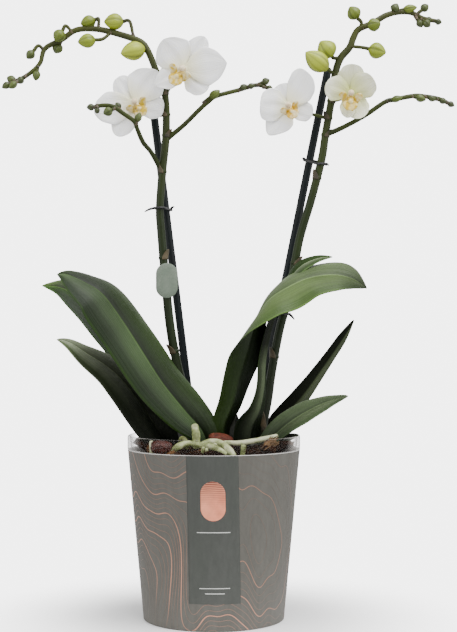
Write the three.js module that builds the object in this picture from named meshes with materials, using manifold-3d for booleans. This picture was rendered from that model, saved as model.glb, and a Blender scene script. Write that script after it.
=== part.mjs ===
// Potted multiflora moth orchid: two small plants in a clear grow pot inside a printed card sleeve.
// Millimetres, +Z up, +X to the right as seen from the front, and the front faces -Y.
// The origin is the centre of the flat underside of the grow pot.

import * as THREE from 'three';
import { mergeVertices } from 'three/addons/utils/BufferGeometryUtils.js';
import Module from 'manifold-3d';

const wasm = await Module();
wasm.setup();

// Card sleeve.
const sleeveHeight = 127;
const sleeveTopRadius = 65;
const sleeveFootRadius = 53;
const cardThickness = 1.1;

// Clear grow pot, which hangs by its rim band on the top edge of the sleeve.
const potHeight = 137.5;
const potRimRadius = 65.2;
const potWall = 1.2;
const potFootRadius = 50.4;
const potShoulderRadius = 62.3;
const potFloor = 1.6;
const drainHoles = 6;
const drainHoleRadius = 4;
const drainCircleRadius = 30;

// Growing medium.
const mediumEdgeHeight = 126;
const mediumCrownHeight = 129;
const smallChips = 20;
const mediumSides = 20;

// Gap kept between pieces that touch on the real plant.
const fitGap = 0.3;

// Sides of the round sections, from the pot down to the thinnest pedicel.
const potSides = 40;
const stemSides = 8;
const twigSides = 5;
const pedicelSides = 4;

// Stakes, ties and pedicels.
const stakeRadius = 2.5;
const wireRadius = 0.6;
const pedicelRadius = 1;

// Leaf and tepal thickness.
const leafThickness = 1.9;
const tepalThickness = 0.9;

// Colours of the real pieces.
const colours = {
  sleeve: 0x7d7d76, clearPot: 0xd9dbd8, medium: 0x4a3626, chip: 0x7a3f28, root: 0xb9c2a4,
  crown: 0x40532f, leaf: 0x3c5230, paleLeaf: 0x75875c, stem: 0x4a5a2c, stake: 0x1a252c,
  wire: 0x17181a, tag: 0x93a291, tepal: 0xe4e3e0, youngTepal: 0xcfd0ba, lip: 0xd6b053,
};

// A small repeatable random number generator, from 0 to 1.
function seeded(seed) {
  let state = seed;
  return () => {
    state = (state * 1664525 + 1013904223) % 4294967296;
    return state / 4294967296;
  };
}

// Turns a closed three.js geometry into a solid for joining and cutting.
function solidOf(geometry) {
  const bare = new THREE.BufferGeometry();
  bare.setAttribute('position', geometry.attributes.position);
  if (geometry.index) bare.setIndex(geometry.index);
  const welded = mergeVertices(bare, 1e-4);
  const corners = [];
  for (let k = 0; k < welded.index.count; k += 3) {
    const [a, b, c] = [0, 1, 2].map((step) => welded.index.getX(k + step));
    if (a !== b && b !== c && c !== a) corners.push(a, b, c);
  }
  return new wasm.Manifold(new wasm.Mesh({
    numProp: 3,
    vertProperties: Float32Array.from(welded.attributes.position.array),
    triVerts: Uint32Array.from(corners),
  }));
}

// Turns a solid back in to a three.js geometry.
function geometryOf(solid) {
  const mesh = solid.getMesh();
  const geometry = new THREE.BufferGeometry();
  geometry.setAttribute('position', new THREE.BufferAttribute(Float32Array.from(mesh.vertProperties), 3));
  geometry.setIndex(Array.from(mesh.triVerts));
  return geometry;
}

function joined(solids) {
  return solids.reduce((whole, solid) => whole.add(solid));
}

// Cuts each of the others away and keeps the largest body that is left.
function cutClear(solid, others) {
  const left = others.reduce((whole, other) => whole.subtract(other), solid);
  return left.decompose().sort((a, b) => b.volume() - a.volume())[0];
}

// A closed skin over two like grids of points: a top face, a bottom face and the rim between them.
function slabGeometry(top, bottom, flipped) {
  const rows = top.length;
  const columns = top[0].length;
  const points = [...top.flat(), ...bottom.flat()];
  const corner = (face, i, j) => face * rows * columns + i * columns + j;
  const index = [];
  const quad = (a, b, c, d) => {
    if (flipped) index.push(a, c, b, a, d, c);
    else index.push(a, b, c, a, c, d);
  };
  for (let i = 0; i < rows - 1; i += 1) {
    for (let j = 0; j < columns - 1; j += 1) {
      quad(corner(0, i, j), corner(0, i, j + 1), corner(0, i + 1, j + 1), corner(0, i + 1, j));
      const [a, b] = [corner(1, i, j), corner(1, i, j + 1)];
      const [c, d] = [corner(1, i + 1, j + 1), corner(1, i + 1, j)];
      if (flipped) index.push(a, b, c, a, c, d);
      else index.push(a, c, b, a, d, c);
    }
    quad(corner(0, i, 0), corner(0, i + 1, 0), corner(1, i + 1, 0), corner(1, i, 0));
    const last = columns - 1;
    quad(corner(0, i + 1, last), corner(0, i, last), corner(1, i, last), corner(1, i + 1, last));
  }
  for (let j = 0; j < columns - 1; j += 1) {
    quad(corner(0, 0, j + 1), corner(0, 0, j), corner(1, 0, j), corner(1, 0, j + 1));
    const last = rows - 1;
    quad(corner(0, last, j), corner(0, last, j + 1), corner(1, last, j + 1), corner(1, last, j));
  }
  const geometry = new THREE.BufferGeometry();
  geometry.setAttribute('position', new THREE.Float32BufferAttribute(points.flatMap((p) => p.toArray()), 3));
  geometry.setIndex(index);
  return geometry;
}

// A smooth curve through rows of numbers: the first three values as a place, the next three as a shape.
function curveThrough(rows, first) {
  const points = rows.map((row) => new THREE.Vector3(row[first], row[first + 1] ?? 0, row[first + 2] ?? 0));
  return new THREE.CatmullRomCurve3(points, false, 'catmullrom', 0.5);
}

// A leaf along a midrib. Each row is x, y, z, half width, roll and fold: roll turns the blade about
// the midrib from edge-on towards the front, and fold lifts both halves in degrees.
function leafSolid({ rows, growsLeft }, grow = 0) {
  const places = curveThrough(rows, 0);
  const shapes = curveThrough(rows, 3);
  const steps = (rows.length - 1) * 2;
  const columns = 4;
  const hand = growsLeft ? -1 : 1;
  const top = [];
  const bottom = [];
  for (let i = 0; i <= steps; i += 1) {
    const t = i / steps;
    const place = places.getPoint(t);
    const along = places.getTangent(t);
    const shape = shapes.getPoint(t);
    const half = Math.max(shape.x, 0.8) + grow;
    const roll = THREE.MathUtils.degToRad(shape.y);
    const fold = THREE.MathUtils.degToRad(shape.z);
    const front = new THREE.Vector3(0, -1, 0).addScaledVector(along, along.y).normalize();
    const down = along.clone().cross(front).multiplyScalar(hand);
    const side = front.clone().multiplyScalar(Math.cos(roll)).addScaledVector(down, Math.sin(roll));
    const face = side.clone().cross(along).multiplyScalar(hand);
    const topRow = [];
    const bottomRow = [];
    for (let j = 0; j <= columns; j += 1) {
      const v = (2 * j) / columns - 1;
      const turn = fold * Math.min(1, Math.abs(v) * 2) * Math.sign(v);
      const reach = side.clone().multiplyScalar(Math.cos(fold) * v);
      reach.addScaledVector(face, Math.sin(fold) * Math.abs(v) + 0.1 * Math.sin(Math.PI * Math.abs(v)));
      const skin = face.clone().multiplyScalar(Math.cos(turn)).addScaledVector(side, -Math.sin(turn));
      const middle = place.clone().addScaledVector(reach, half);
      const depth = Math.max(0.32, leafThickness * 0.5 * (1 - 0.62 * v * v)) + grow;
      topRow.push(middle.clone().addScaledVector(skin, depth));
      bottomRow.push(middle.clone().addScaledVector(skin, -depth));
    }
    top.push(topRow);
    bottom.push(bottomRow);
  }
  return solidOf(slabGeometry(top, bottom, growsLeft));
}

// A round stem through rows of x, y, z and radius, with a low dome on each end.
function stemSolid(rows, sides, grow = 0) {
  const places = curveThrough(rows, 0);
  const radii = curveThrough(rows, 3);
  const steps = rows.length - 1;
  const points = [];
  let across = new THREE.Vector3(0.31, -0.95, 0.05);
  for (let i = 0; i <= steps; i += 1) {
    const t = i / steps;
    const place = places.getPoint(t);
    const along = places.getTangent(t);
    const radius = radii.getPoint(t).x + grow;
    across = across.clone().addScaledVector(along, -across.dot(along)).normalize();
    const other = along.clone().cross(across);
    if (i === 0) points.push(place.clone().addScaledVector(along, -radius * 0.3));
    for (let k = 0; k < sides; k += 1) {
      const angle = (2 * Math.PI * k) / sides;
      const spoke = across.clone().multiplyScalar(Math.cos(angle)).addScaledVector(other, Math.sin(angle));
      points.push(place.clone().addScaledVector(spoke, radius));
    }
    if (i === steps) points.push(place.clone().addScaledVector(along, radius * 0.3));
  }
  const index = [];
  const last = points.length - 1;
  for (let k = 0; k < sides; k += 1) {
    const next = (k + 1) % sides;
    index.push(0, 1 + next, 1 + k);
    index.push(last, last - sides + k, last - sides + next);
    for (let i = 0; i < steps; i += 1) {
      const [near, far] = [1 + i * sides, 1 + (i + 1) * sides];
      index.push(near + k, near + next, far + next, near + k, far + next, far + k);
    }
  }
  const geometry = new THREE.BufferGeometry();
  geometry.setAttribute('position', new THREE.Float32BufferAttribute(points.flatMap((p) => p.toArray()), 3));
  geometry.setIndex(index);
  return solidOf(geometry);
}

// A solid turned about Z from a profile of radius and height.
function turnedSolid(profile, segments) {
  const points = profile.map(([radius, height]) => new THREE.Vector2(radius, height));
  const geometry = new THREE.LatheGeometry(points, segments);
  geometry.rotateX(Math.PI / 2);
  return solidOf(geometry);
}

// Sleeve: an open cone of card.
function sleeveSolid() {
  return turnedSolid([
    [sleeveFootRadius - cardThickness, 0],
    [sleeveFootRadius, 0],
    [sleeveTopRadius, sleeveHeight],
    [sleeveTopRadius - cardThickness, sleeveHeight],
    [sleeveFootRadius - cardThickness, 0],
  ], potSides);
}

// Grow pot: a thin cup with a rim band that stands above the sleeve, and drain holes in its floor.
function growPotSolid() {
  const bandFoot = sleeveHeight + fitGap;
  const cup = turnedSolid([
    [0, 0],
    [potFootRadius, 0],
    [potShoulderRadius, bandFoot],
    [potRimRadius, bandFoot],
    [potRimRadius, potHeight - 1],
    [potRimRadius - 0.6, potHeight],
    [potRimRadius - potWall - 0.6, potHeight],
    [potRimRadius - potWall - 1, bandFoot + 2.5],
    [potShoulderRadius - potWall, bandFoot - 1],
    [potFootRadius - potWall, potFloor],
    [0, potFloor],
  ], potSides);
  const holes = [];
  for (let k = 0; k < drainHoles; k += 1) {
    const angle = (2 * Math.PI * k) / drainHoles;
    const drill = new THREE.CylinderGeometry(drainHoleRadius, drainHoleRadius, potFloor * 4, 8);
    drill.rotateX(Math.PI / 2);
    drill.translate(drainCircleRadius * Math.cos(angle), drainCircleRadius * Math.sin(angle), 0);
    holes.push(solidOf(drill));
  }
  return holes.reduce((pot, hole) => pot.subtract(hole), cup);
}

// A rough angular chip of bark.
function chipSolid(place, size, turn, grow = 0) {
  const chip = new THREE.IcosahedronGeometry(0.5, 0);
  chip.scale(size[0] + 2 * grow, size[1] + 2 * grow, size[2] + 2 * grow);
  chip.rotateX(turn[0]);
  chip.rotateY(turn[1]);
  chip.rotateZ(turn[2]);
  chip.translate(...place);
  return solidOf(chip);
}

// Growing medium: the packed body of bark with loose chips bedded in its top.
function mediumSolid() {
  const clear = potWall + 0.4;
  const core = turnedSolid([
    [0, potFloor + 0.4],
    [potFootRadius - clear, potFloor + 0.4],
    [potShoulderRadius - clear - 0.2, mediumEdgeHeight - 1],
    [potShoulderRadius - clear - 6, mediumEdgeHeight + 1],
    [potShoulderRadius / 2, mediumCrownHeight - 0.5],
    [0, mediumCrownHeight],
  ], mediumSides);
  const random = seeded(11);
  const chips = [];
  for (let k = 0; k < smallChips; k += 1) {
    const distance = 52 * Math.sqrt((k + 0.5) / smallChips);
    const angle = k * 2.39996;
    const height = mediumCrownHeight + 1 - distance * 0.045;
    const place = [distance * Math.cos(angle), distance * Math.sin(angle), height];
    const size = [11 + 5 * random(), 8 + 4 * random(), 5 + 3 * random()];
    chips.push(chipSolid(place, size, [random() * 0.5, random() * 0.5, random() * Math.PI]));
  }
  return joined([core, ...chips]);
}

// Large loose chips that lie on the medium.
const bigChips = {
  bark_chip_left: { place: [-37, -38, 130.5], size: [15, 11, 9], turn: [0.3, 0.2, 0.3] },
  bark_chip_middle: { place: [4, -25, 134], size: [17, 12, 11], turn: [0.2, -0.3, 0.1] },
  bark_chip_right: { place: [39, -41, 130.5], size: [15, 12, 10], turn: [-0.2, 0.3, 0.5] },
};

// Aerial roots as rows of x, y, z and radius: each set grows together as one body.
const rootSets = {
  aerial_roots_front: [
    [[-32, -41, 126, 2.4], [-26, -41, 131.5, 2.6], [-19, -38, 133.5, 2.4], [-9, -40, 132.5, 2.6],
      [0, -45, 131.5, 2.5], [8, -51, 127, 2.4]],
    [[-12, -38, 131, 2.2], [-4, -37, 134.5, 2.4], [4, -41, 134.5, 2.4], [10, -48, 131, 2.5],
      [14, -52, 126, 2.4]],
    [[1, -41, 132.5, 2], [9, -37, 134, 1.9], [18, -38, 134.5, 1.9], [27, -35, 137, 2], [36, -32, 138.5, 2.1],
      [45, -27, 137.5, 2], [49, -22, 131, 2]],
    [[-13, -38, 131, 2.6], [-13, -35, 139, 3], [-14, -33, 146, 2.6]],
    [[-20, -37, 131, 2.4], [-22, -32, 136, 2.3], [-24, -24, 135, 2.2], [-24, -14, 128, 2.2]],
  ],
  aerial_roots_back: [
    [[-34, 24, 126, 2.3], [-24, 32, 132.5, 2.5], [-8, 36, 133.5, 2.4], [8, 34, 132.5, 2.3],
      [20, 40, 127, 2.2]],
    [[-8, 36, 132, 2.2], [4, 44, 131.5, 2.3], [12, 52, 126, 2.2]],
  ],
};

// Crowns: the short stems of the two plants, wrapped in old leaf bases.
const crowns = {
  crown_left: { place: [-18, 2], reach: [11, 9] },
  crown_right: { place: [25, 2], reach: [12, 9] },
};

function crownSolid({ place, reach }, grow = 0) {
  const [foot, top] = [112 - grow, 142 + grow];
  const profile = [[0, foot], [0.8, foot], [1, 122], [0.92, 132], [0.6, top - 3], [0, top]];
  const points = profile.map(([radius, height]) => new THREE.Vector2(radius, height));
  const geometry = new THREE.LatheGeometry(points, 12);
  geometry.rotateX(Math.PI / 2);
  geometry.scale(reach[0] + grow, reach[1] + grow, 1);
  geometry.translate(place[0], place[1], 0);
  return solidOf(geometry);
}

// Leaves, each row being x, y, z, half width, roll and fold.
const leaves = {
  leaf_left_front: {
    growsLeft: true,
    rows: [[-8, -4, 128, 7, 55, 30], [-13, -7, 141, 10.5, 58, 20], [-25, -13, 156, 16.5, 54, 5],
      [-40, -22, 177, 22, 48, -5], [-58, -30, 204, 25, 43, -8], [-70, -34, 223, 25, 41, -10],
      [-83, -36, 242, 24, 38, -12], [-95, -36, 251, 19, 35, -12], [-106.5, -35, 257, 11, 33, -9],
      [-115, -33.5, 258.5, 1, 32, 0]],
  },
  leaf_left_back: {
    growsLeft: true,
    rows: [[-16, 10, 127, 8, 40, 30], [-24, 14, 142, 12, 40, 15], [-42, 20, 166, 18, 35, 5],
      [-63, 26, 192, 21, 32, 0], [-81, 29, 215, 21, 33, 0], [-98, 31, 234, 18.5, 35, 2],
      [-116, 31, 248, 13, 38, 6], [-134, 30, 252, 1, 35, 5]],
  },
  leaf_left_low: {
    growsLeft: true,
    rows: [[-28, -1, 126, 10, 60, 35], [-37, -3, 140, 16, 60, 20], [-50.5, -6, 158, 19.5, 51, 4],
      [-68, -9, 177.5, 18.5, 43, -5], [-80, -10, 188.5, 17, 40, -6], [-96, -10, 199, 13, 36, -6],
      [-108, -9, 206.5, 7, 30, -4], [-118, -8, 210, 1, 30, 0]],
  },
  leaf_right_front: {
    growsLeft: false,
    rows: [[10, -4, 126, 8, -75, 40], [6.5, -6, 142, 8.5, -70, 30], [13, -10, 163, 9, -60, 15],
      [17, -14, 182, 11.5, -53, 0], [22, -19, 200, 15.5, -42, -6], [26.5, -24, 220, 18.5, -5, -17],
      [38.5, -27, 238, 21, 18, -19], [52.5, -27, 248, 21.5, 34, -18], [70, -25, 255, 20.5, 36, -9],
      [89, -23, 257, 18, 37, -2], [102, -22, 254, 12, 40, 5], [114, -21, 248, 1, 40, 0]],
  },
  leaf_right_upright: {
    growsLeft: false,
    rows: [[25, -7, 126, 11, -60, 30], [25.5, -8, 142, 13.5, -60, 25], [31.5, -10, 157, 10, -48, 20],
      [35.5, -11, 173, 6.5, -38, 15], [37.8, -11, 193, 7, -28, 15], [41, -11, 212, 7.5, -22, 10],
      [47, -11, 233, 8.5, -10, 5], [56, -11, 252, 9, 15, 0], [65, -11, 264, 8, 30, 0],
      [77, -11, 270, 5, 35, 0], [89, -11, 272, 1, 35, 0]],
  },
  leaf_right_back: {
    growsLeft: false,
    rows: [[38, 11, 126, 7, -40, 35], [50, 14, 146, 9, -45, 25], [68, 20, 164, 10.8, -45, 15],
      [87, 27, 185, 10.8, -40, 10], [101, 33, 207, 8, -40, 8], [110, 38, 225, 1, -40, 0]],
  },
  leaf_right_low: {
    growsLeft: false,
    rows: [[37, -5, 127, 7, 45, 35], [50, -9, 140.5, 11.5, 45, 20], [66, -15, 152.5, 12.8, 42, 8],
      [83, -21, 161.5, 9, 40, 0], [99, -26, 168, 1, 40, 0]],
  },
  leaf_right_small: {
    growsLeft: false,
    rows: [[40, -8, 126, 4, 30, 20], [50, -12, 134, 5, 40, 10], [60, -14, 138.8, 0.8, 40, 0]],
  },
};

// Flower spikes. Stem rows are x, y, z and radius. A bud hangs on a pedicel from its joint on the
// stem, by way of a bend where it has one, and long and wide are its size.
const spikes = {
  spike_left: {
    stems: [
      [[-14, 4, 118, 2.8], [-16, 4, 142, 2.9], [-21, 2, 167, 2.9], [-27, 0, 187, 2.9],
        [-32, -3, 219, 2.8], [-37, -4, 258, 2.7], [-40, -4, 292, 2.6], [-41, -4, 309, 2.5],
        [-39, -4, 337, 2.5], [-35, -5, 366, 2.4], [-36, -7, 396, 2.2], [-44, -8, 413, 2.1],
        [-50, -8, 427, 2.1], [-56, -7, 434, 2.1], [-71, -4, 440, 2], [-89, 0, 445, 1.9],
        [-105, 3, 445, 1.8], [-116, 4, 438, 1.7], [-129, 4, 431, 1.6], [-133, 2, 419, 1.4],
        [-144, 0, 409, 1.4], [-157, -3, 403, 1.3]],
      [[-40, -4, 338, 1.6], [-47, -12, 350, 1.5], [-53, -18, 357, 1.5], [-57, -24, 366, 1.4],
        [-59, -27, 371, 1.4], [-68, -31, 377, 1.4], [-74, -32, 381, 1.4], [-81, -32, 382, 1.3],
        [-90, -30, 381, 1.2]],
      [[-35, -4, 362, 1.7], [-23, -9, 371, 1.5], [-11, -14, 382, 1.5], [-4, -16, 388, 1.5],
        [2, -16, 392, 1.4], [19, -14, 397, 1.4], [32, -12, 401, 1.3], [42, -10, 399, 1.2]],
      [[-36, -6, 380, 1.2], [-44, -7, 379, 1.1], [-52, -8.5, 383, 1], [-59, -10.3, 387.3, 1.1]],
      [[-36, -7, 396, 1.2], [-31, -14, 402, 1.1], [-22.6, -23.3, 409.3, 1.1]],
    ],
    buds: [
      { joint: [-51, -8, 429], at: [-60, -13, 426], long: 17.5, wide: 14 },
      { joint: [-61, -6, 438], via: [-64, -4, 450], at: [-76, -3, 450], long: 14.5, wide: 11.5 },
      { joint: [-88, 0, 445], via: [-88, 1, 453], at: [-96, 2, 451], long: 11.5, wide: 9.3 },
      { joint: [-78, -3, 442], via: [-84, -7, 436], at: [-96, -9, 434], long: 13, wide: 10 },
      { joint: [-108, 3, 443], via: [-113, 2, 448], at: [-118, 1, 440], long: 10, wide: 9 },
      { joint: [-116, 4, 438], at: [-120, 8, 432], long: 8.3, wide: 7.6 },
      { joint: [-130, 4, 430], via: [-134, 3, 433], at: [-140, 2, 426], long: 7.6, wide: 6.6 },
      { joint: [-134, 2, 418], at: [-135, 0, 410], long: 8, wide: 5.6 },
      { joint: [-143, 0, 410], at: [-147, -2, 406], long: 6.2, wide: 5.3 },
      { joint: [-154, -3, 404], at: [-154, -1, 407], long: 4.5, wide: 4 },
      { joint: [-58, -26, 369], at: [-56, -27, 374], long: 7.6, wide: 5 },
      { joint: [-69, -31, 378], at: [-71, -30, 382], long: 5.7, wide: 4.8 },
      { joint: [-73, -32, 380], at: [-78, -34, 377], long: 7.2, wide: 6.2 },
      { joint: [-86, -31, 382], at: [-86, -32, 378], long: 4.5, wide: 3.8 },
      { joint: [-87, -31, 381], at: [-91, -30, 381], long: 6, wide: 4.8 },
      { joint: [-4, -16, 388], at: [0, -18, 394], long: 6.8, wide: 4.6 },
      { joint: [18, -14, 396.5], at: [22, -15, 399], long: 6, wide: 4.4 },
      { joint: [25, -13, 399], at: [28, -14, 400], long: 6.2, wide: 4.2 },
      { joint: [32, -12, 401], at: [39, -11, 404], long: 6.2, wide: 5.2 },
      { joint: [37, -11, 400], at: [42, -10, 399], long: 5, wide: 4.4 },
    ],
  },
  spike_right: {
    stems: [
      [[35, 4, 116, 2.8], [37, 4, 142, 2.9], [41, 4, 164, 2.9], [44, 4, 185, 2.8], [50, 4, 217, 2.7],
        [58, 3, 247, 2.7], [65, 2, 285, 2.6], [74, 1, 316, 2.6], [82, 0, 347, 2.5], [85, -1, 367, 2.4],
        [89, -2, 390, 2.4], [92, -3, 411, 2.3], [96, -3, 423, 2.3], [103, -3, 431, 2.2],
        [106, -3, 438, 2.1], [110, -3, 444, 2], [121, -3, 449, 1.9], [131, -2, 455, 1.8],
        [141, 0, 458, 1.7], [151, 2, 458, 1.6], [160, 3, 454, 1.5], [171, 4, 452, 1.3]],
      [[84, -1, 365, 1.7], [97, -5, 370, 1.6], [114, -7, 379, 1.5], [129, -8, 389, 1.5], [136, -8, 391, 1.5],
        [151, -7, 394, 1.5], [159, -6, 394, 1.4], [171, -5, 392, 1.4], [180, -4, 388, 1.3]],
      [[86, -1, 378, 1.2], [75, -3, 380.5, 1], [65, -7, 383, 1], [57, -11.2, 385.3, 1.1]],
      [[89, -2, 391, 1.2], [95, -9, 391, 1.1], [101.5, -15.3, 393.4, 1.1]],
    ],
    buds: [
      { joint: [107, -3, 439], via: [112, -4, 448], at: [106, -6, 456], long: 10.5, wide: 9.8 },
      { joint: [113, -3, 445], at: [120, -11, 446], long: 10.5, wide: 9.2 },
      { joint: [135, -1, 456], at: [138, -2, 461], long: 6.8, wide: 6.5 },
      { joint: [144, 1, 458], at: [149, 0, 462], long: 8.5, wide: 5.6 },
      { joint: [154, 2, 456], at: [160, 3, 462], long: 6.4, wide: 5.4 },
      { joint: [104, -3, 432], via: [113, -8, 430], at: [123, -12, 427], long: 13.5, wide: 11 },
      { joint: [97, -3, 424], via: [91, -5, 423], at: [85, -8, 428], long: 13.5, wide: 12.6 },
      { joint: [92, -3, 411], via: [87, -8, 413], at: [78, -12, 419], long: 19, wide: 14.6 },
      { joint: [156, 2, 455], at: [160, 2, 449], long: 6.5, wide: 6 },
      { joint: [165, 4, 453], at: [171, 4, 452], long: 4.6, wide: 4.2 },
      { joint: [133, -8, 390], at: [137, -9, 394], long: 5.4, wide: 4 },
      { joint: [151, -7, 394], at: [156, -8, 390.5], long: 6, wide: 4.2 },
      { joint: [160, -6, 394], at: [165, -6, 390.5], long: 5.4, wide: 3.8 },
      { joint: [169, -5, 392.3], at: [173, -5, 389.5], long: 4.6, wide: 3.6 },
      { joint: [176, -4.5, 390], at: [180.6, -4, 388.4], long: 4.5, wide: 3.8 },
    ],
  },
};

// A plump pointed bud about its own long axis, from its pedicel end to its tip.
const bigBudLength = 9;
const budProfile = [[0, -0.5], [0.36, -0.38], [0.5, -0.05], [0.36, 0.32], [0, 0.5]];

function budSolids({ joint, via, at, long, wide }) {
  const centre = new THREE.Vector3(...at);
  const before = new THREE.Vector3(...(via ?? joint));
  const axis = centre.clone().sub(before).normalize();
  const tail = centre.clone().addScaledVector(axis, -long * 0.4);
  const profile = budProfile.map(([radius, height]) => new THREE.Vector2(radius * wide, height * long));
  const bud = new THREE.LatheGeometry(profile, long > bigBudLength ? 8 : 5);
  bud.applyQuaternion(new THREE.Quaternion().setFromUnitVectors(new THREE.Vector3(0, 1, 0), axis));
  bud.translate(...at);
  const bends = [joint, via, tail.toArray()].filter((bend) => bend);
  const pedicel = stemSolid(bends.map((bend) => [...bend, pedicelRadius]), pedicelSides);
  return [solidOf(bud), pedicel];
}

function spikeSolid({ stems, buds }) {
  const rods = stems.map((rows, k) => stemSolid(rows, k === 0 ? stemSides : twigSides));
  return joined([...rods, ...buds.flatMap(budSolids)]);
}

function spikeHole({ stems }) {
  return stemSolid(stems[0].slice(0, 9), stemSides, fitGap);
}

// Support stakes: thin straight rods pushed in to the medium.
const stakes = {
  stake_left: [[-6, 17, 60, stakeRadius], [-46, 8, 382, stakeRadius]],
  stake_right: [[18.5, 14, 60, stakeRadius], [88, 14, 418, stakeRadius]],
};

// Wire ties: a loop round a stem and a stake, with loose ends. Each circle is x, y and the height.
const ties = {
  tie_left: {
    stem: [-41, -4, 309],
    stake: [-37, 10, 309],
    ends: [[[-44.6, -4.5, 309], [-52, -8, 306]], [[-33.5, 9.5, 309], [-30.5, 5, 311]]],
  },
  tie_right_high: {
    stem: [81.2, 0, 343],
    stake: [74.1, 14, 348],
    ends: [[[84.8, -0.5, 343], [87, -3, 341.8]], [[70.5, 13.5, 348], [68, 11, 349]]],
  },
  tie_right_low: {
    stem: [53.4, 3.6, 229],
    stake: [51.3, 14, 229],
    ends: [[[57, 3, 229], [61, 1, 225]]],
  },
};

function tieSolid({ stem, stake, ends }) {
  const loopRadius = 3 + fitGap + wireRadius;
  const circles = [stem, stake];
  const points = [];
  for (let k = 0; k < 16; k += 1) {
    const angle = (2 * Math.PI * k) / 16;
    const outward = [Math.cos(angle), Math.sin(angle)];
    const reach = circles.map((c) => c[0] * outward[0] + c[1] * outward[1]);
    const held = circles[reach[0] > reach[1] ? 0 : 1];
    const [x, y] = [held[0] + loopRadius * outward[0], held[1] + loopRadius * outward[1]];
    points.push(new THREE.Vector3(x, y, held[2]));
  }
  const path = new THREE.CatmullRomCurve3(points, true, 'centripetal');
  const loop = solidOf(new THREE.TubeGeometry(path, 16, wireRadius, pedicelSides, true));
  const tails = ends.map((end) => stemSolid(end.map((place) => [...place, wireRadius]), pedicelSides));
  return joined([loop, ...tails]);
}

// Name tag: a thin capsule that lies against the left stem.
const tagWidth = 16.5;
const tagHeight = 26.4;
const tagThickness = 0.8;
const tagPlace = [-35.5, -7.05, 254];

function tagGeometry() {
  const radius = tagWidth / 2;
  const straight = (tagHeight - tagWidth) / 2;
  const outline = new THREE.Shape();
  outline.absarc(0, straight, radius, 0, Math.PI, false);
  outline.absarc(0, -straight, radius, Math.PI, 2 * Math.PI, false);
  const options = { depth: tagThickness, bevelEnabled: false, curveSegments: 8 };
  const plate = new THREE.ExtrudeGeometry(outline, options);
  plate.rotateX(Math.PI / 2);
  return geometryOf(solidOf(plate));
}

// Blooms. Each faces the front, turned by yaw about Z and tipped by nod. A tepal is its angle
// clockwise from straight up, its length, its half width and how far its tip comes forward.
const blooms = {
  bloom_left_high: {
    place: [-22.2, -26, 409.9], yaw: -12, nod: 4, lipAngle: 211,
    petals: [[83, 32.5, 14, 1.5], [-36, 26.5, 14.5, 3]],
    sepals: [[33, 28.3, 9.5, -1], [139, 22.5, 9.5, 0.5], [249, 24, 8.8, 1]],
  },
  bloom_left_low: {
    place: [-59.8, -13, 387.6], yaw: 4, nod: 4, lipAngle: 147,
    petals: [[31, 29, 14, 2.5], [-104, 30.5, 12.8, 1]],
    sepals: [[-33, 22.5, 8.5, -1.5], [99, 22.5, 9.5, 0.5], [208, 28.5, 9, 1]],
  },
  bloom_right_low: {
    place: [56, -14, 385], yaw: -6, nod: 3, lipAngle: 152,
    petals: [[34, 29, 12, 3], [-86, 21, 12.5, 4]],
    sepals: [[-20, 17.8, 9, -1], [110, 19, 8, 0], [212, 26.5, 9.8, 1.5]],
  },
  bloom_right_high: {
    place: [102, -18, 393.5], yaw: 0, nod: 4, lipAngle: 185,
    petals: [[62, 19.6, 10, 8], [-70, 20, 9.5, 8]],
    sepals: [[4, 21.6, 10.6, 5], [151, 20, 8.6, 6], [188, 18.5, 6.8, 6]],
  },
};

// One petal or sepal: a claw that widens to its broadest at the given share of the length and then
// closes in a round end, seen from the front along +Z with +Y up.
function tepalSolid([angle, length, half, lift], { broadest, columns, seat }, grow = 0) {
  const turn = THREE.MathUtils.degToRad(angle);
  const out = [Math.sin(turn), Math.cos(turn)];
  const across = [Math.cos(turn), -Math.sin(turn)];
  const rows = 5;
  const clawHalf = 2.2;
  const depth = tepalThickness / 2 + grow;
  const top = [];
  const bottom = [];
  for (let i = 0; i <= rows; i += 1) {
    const s = 0.99 * Math.sin((Math.PI / 2) * (i / rows));
    const past = Math.max(0, (s - broadest) / (1 - broadest));
    const before = Math.min(1, s / broadest);
    const swell = clawHalf + (half - clawHalf) * Math.sin((Math.PI / 2) * before);
    const width = swell * Math.sqrt(1 - past * past) + grow;
    const radius = 1 + s * (length - 1);
    const topRow = [];
    const bottomRow = [];
    for (let j = 0; j <= columns; j += 1) {
      const v = (2 * j) / columns - 1;
      const x = out[0] * radius + across[0] * v * width;
      const y = out[1] * radius + across[1] * v * width;
      const z = seat + lift * s * s - 0.06 * width * v * v;
      topRow.push(new THREE.Vector3(x, y, z + depth));
      bottomRow.push(new THREE.Vector3(x, y, z - depth));
    }
    top.push(topRow);
    bottom.push(bottomRow);
  }
  return solidOf(slabGeometry(top, bottom, false));
}

const petalForm = { broadest: 0.55, columns: 4, seat: 0.7 };
const sepalForm = { broadest: 0.5, columns: 2, seat: -0.7 };

function tepalsSolid({ petals, sepals }, grow = 0) {
  const heart = new THREE.SphereGeometry(1, 8, 4);
  heart.scale(3.4 + grow, 3.4 + grow, 2 + grow);
  return joined([
    solidOf(heart),
    ...petals.map((petal) => tepalSolid(petal, petalForm, grow)),
    ...sepals.map((sepal) => tepalSolid(sepal, sepalForm, grow)),
  ]);
}

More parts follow.
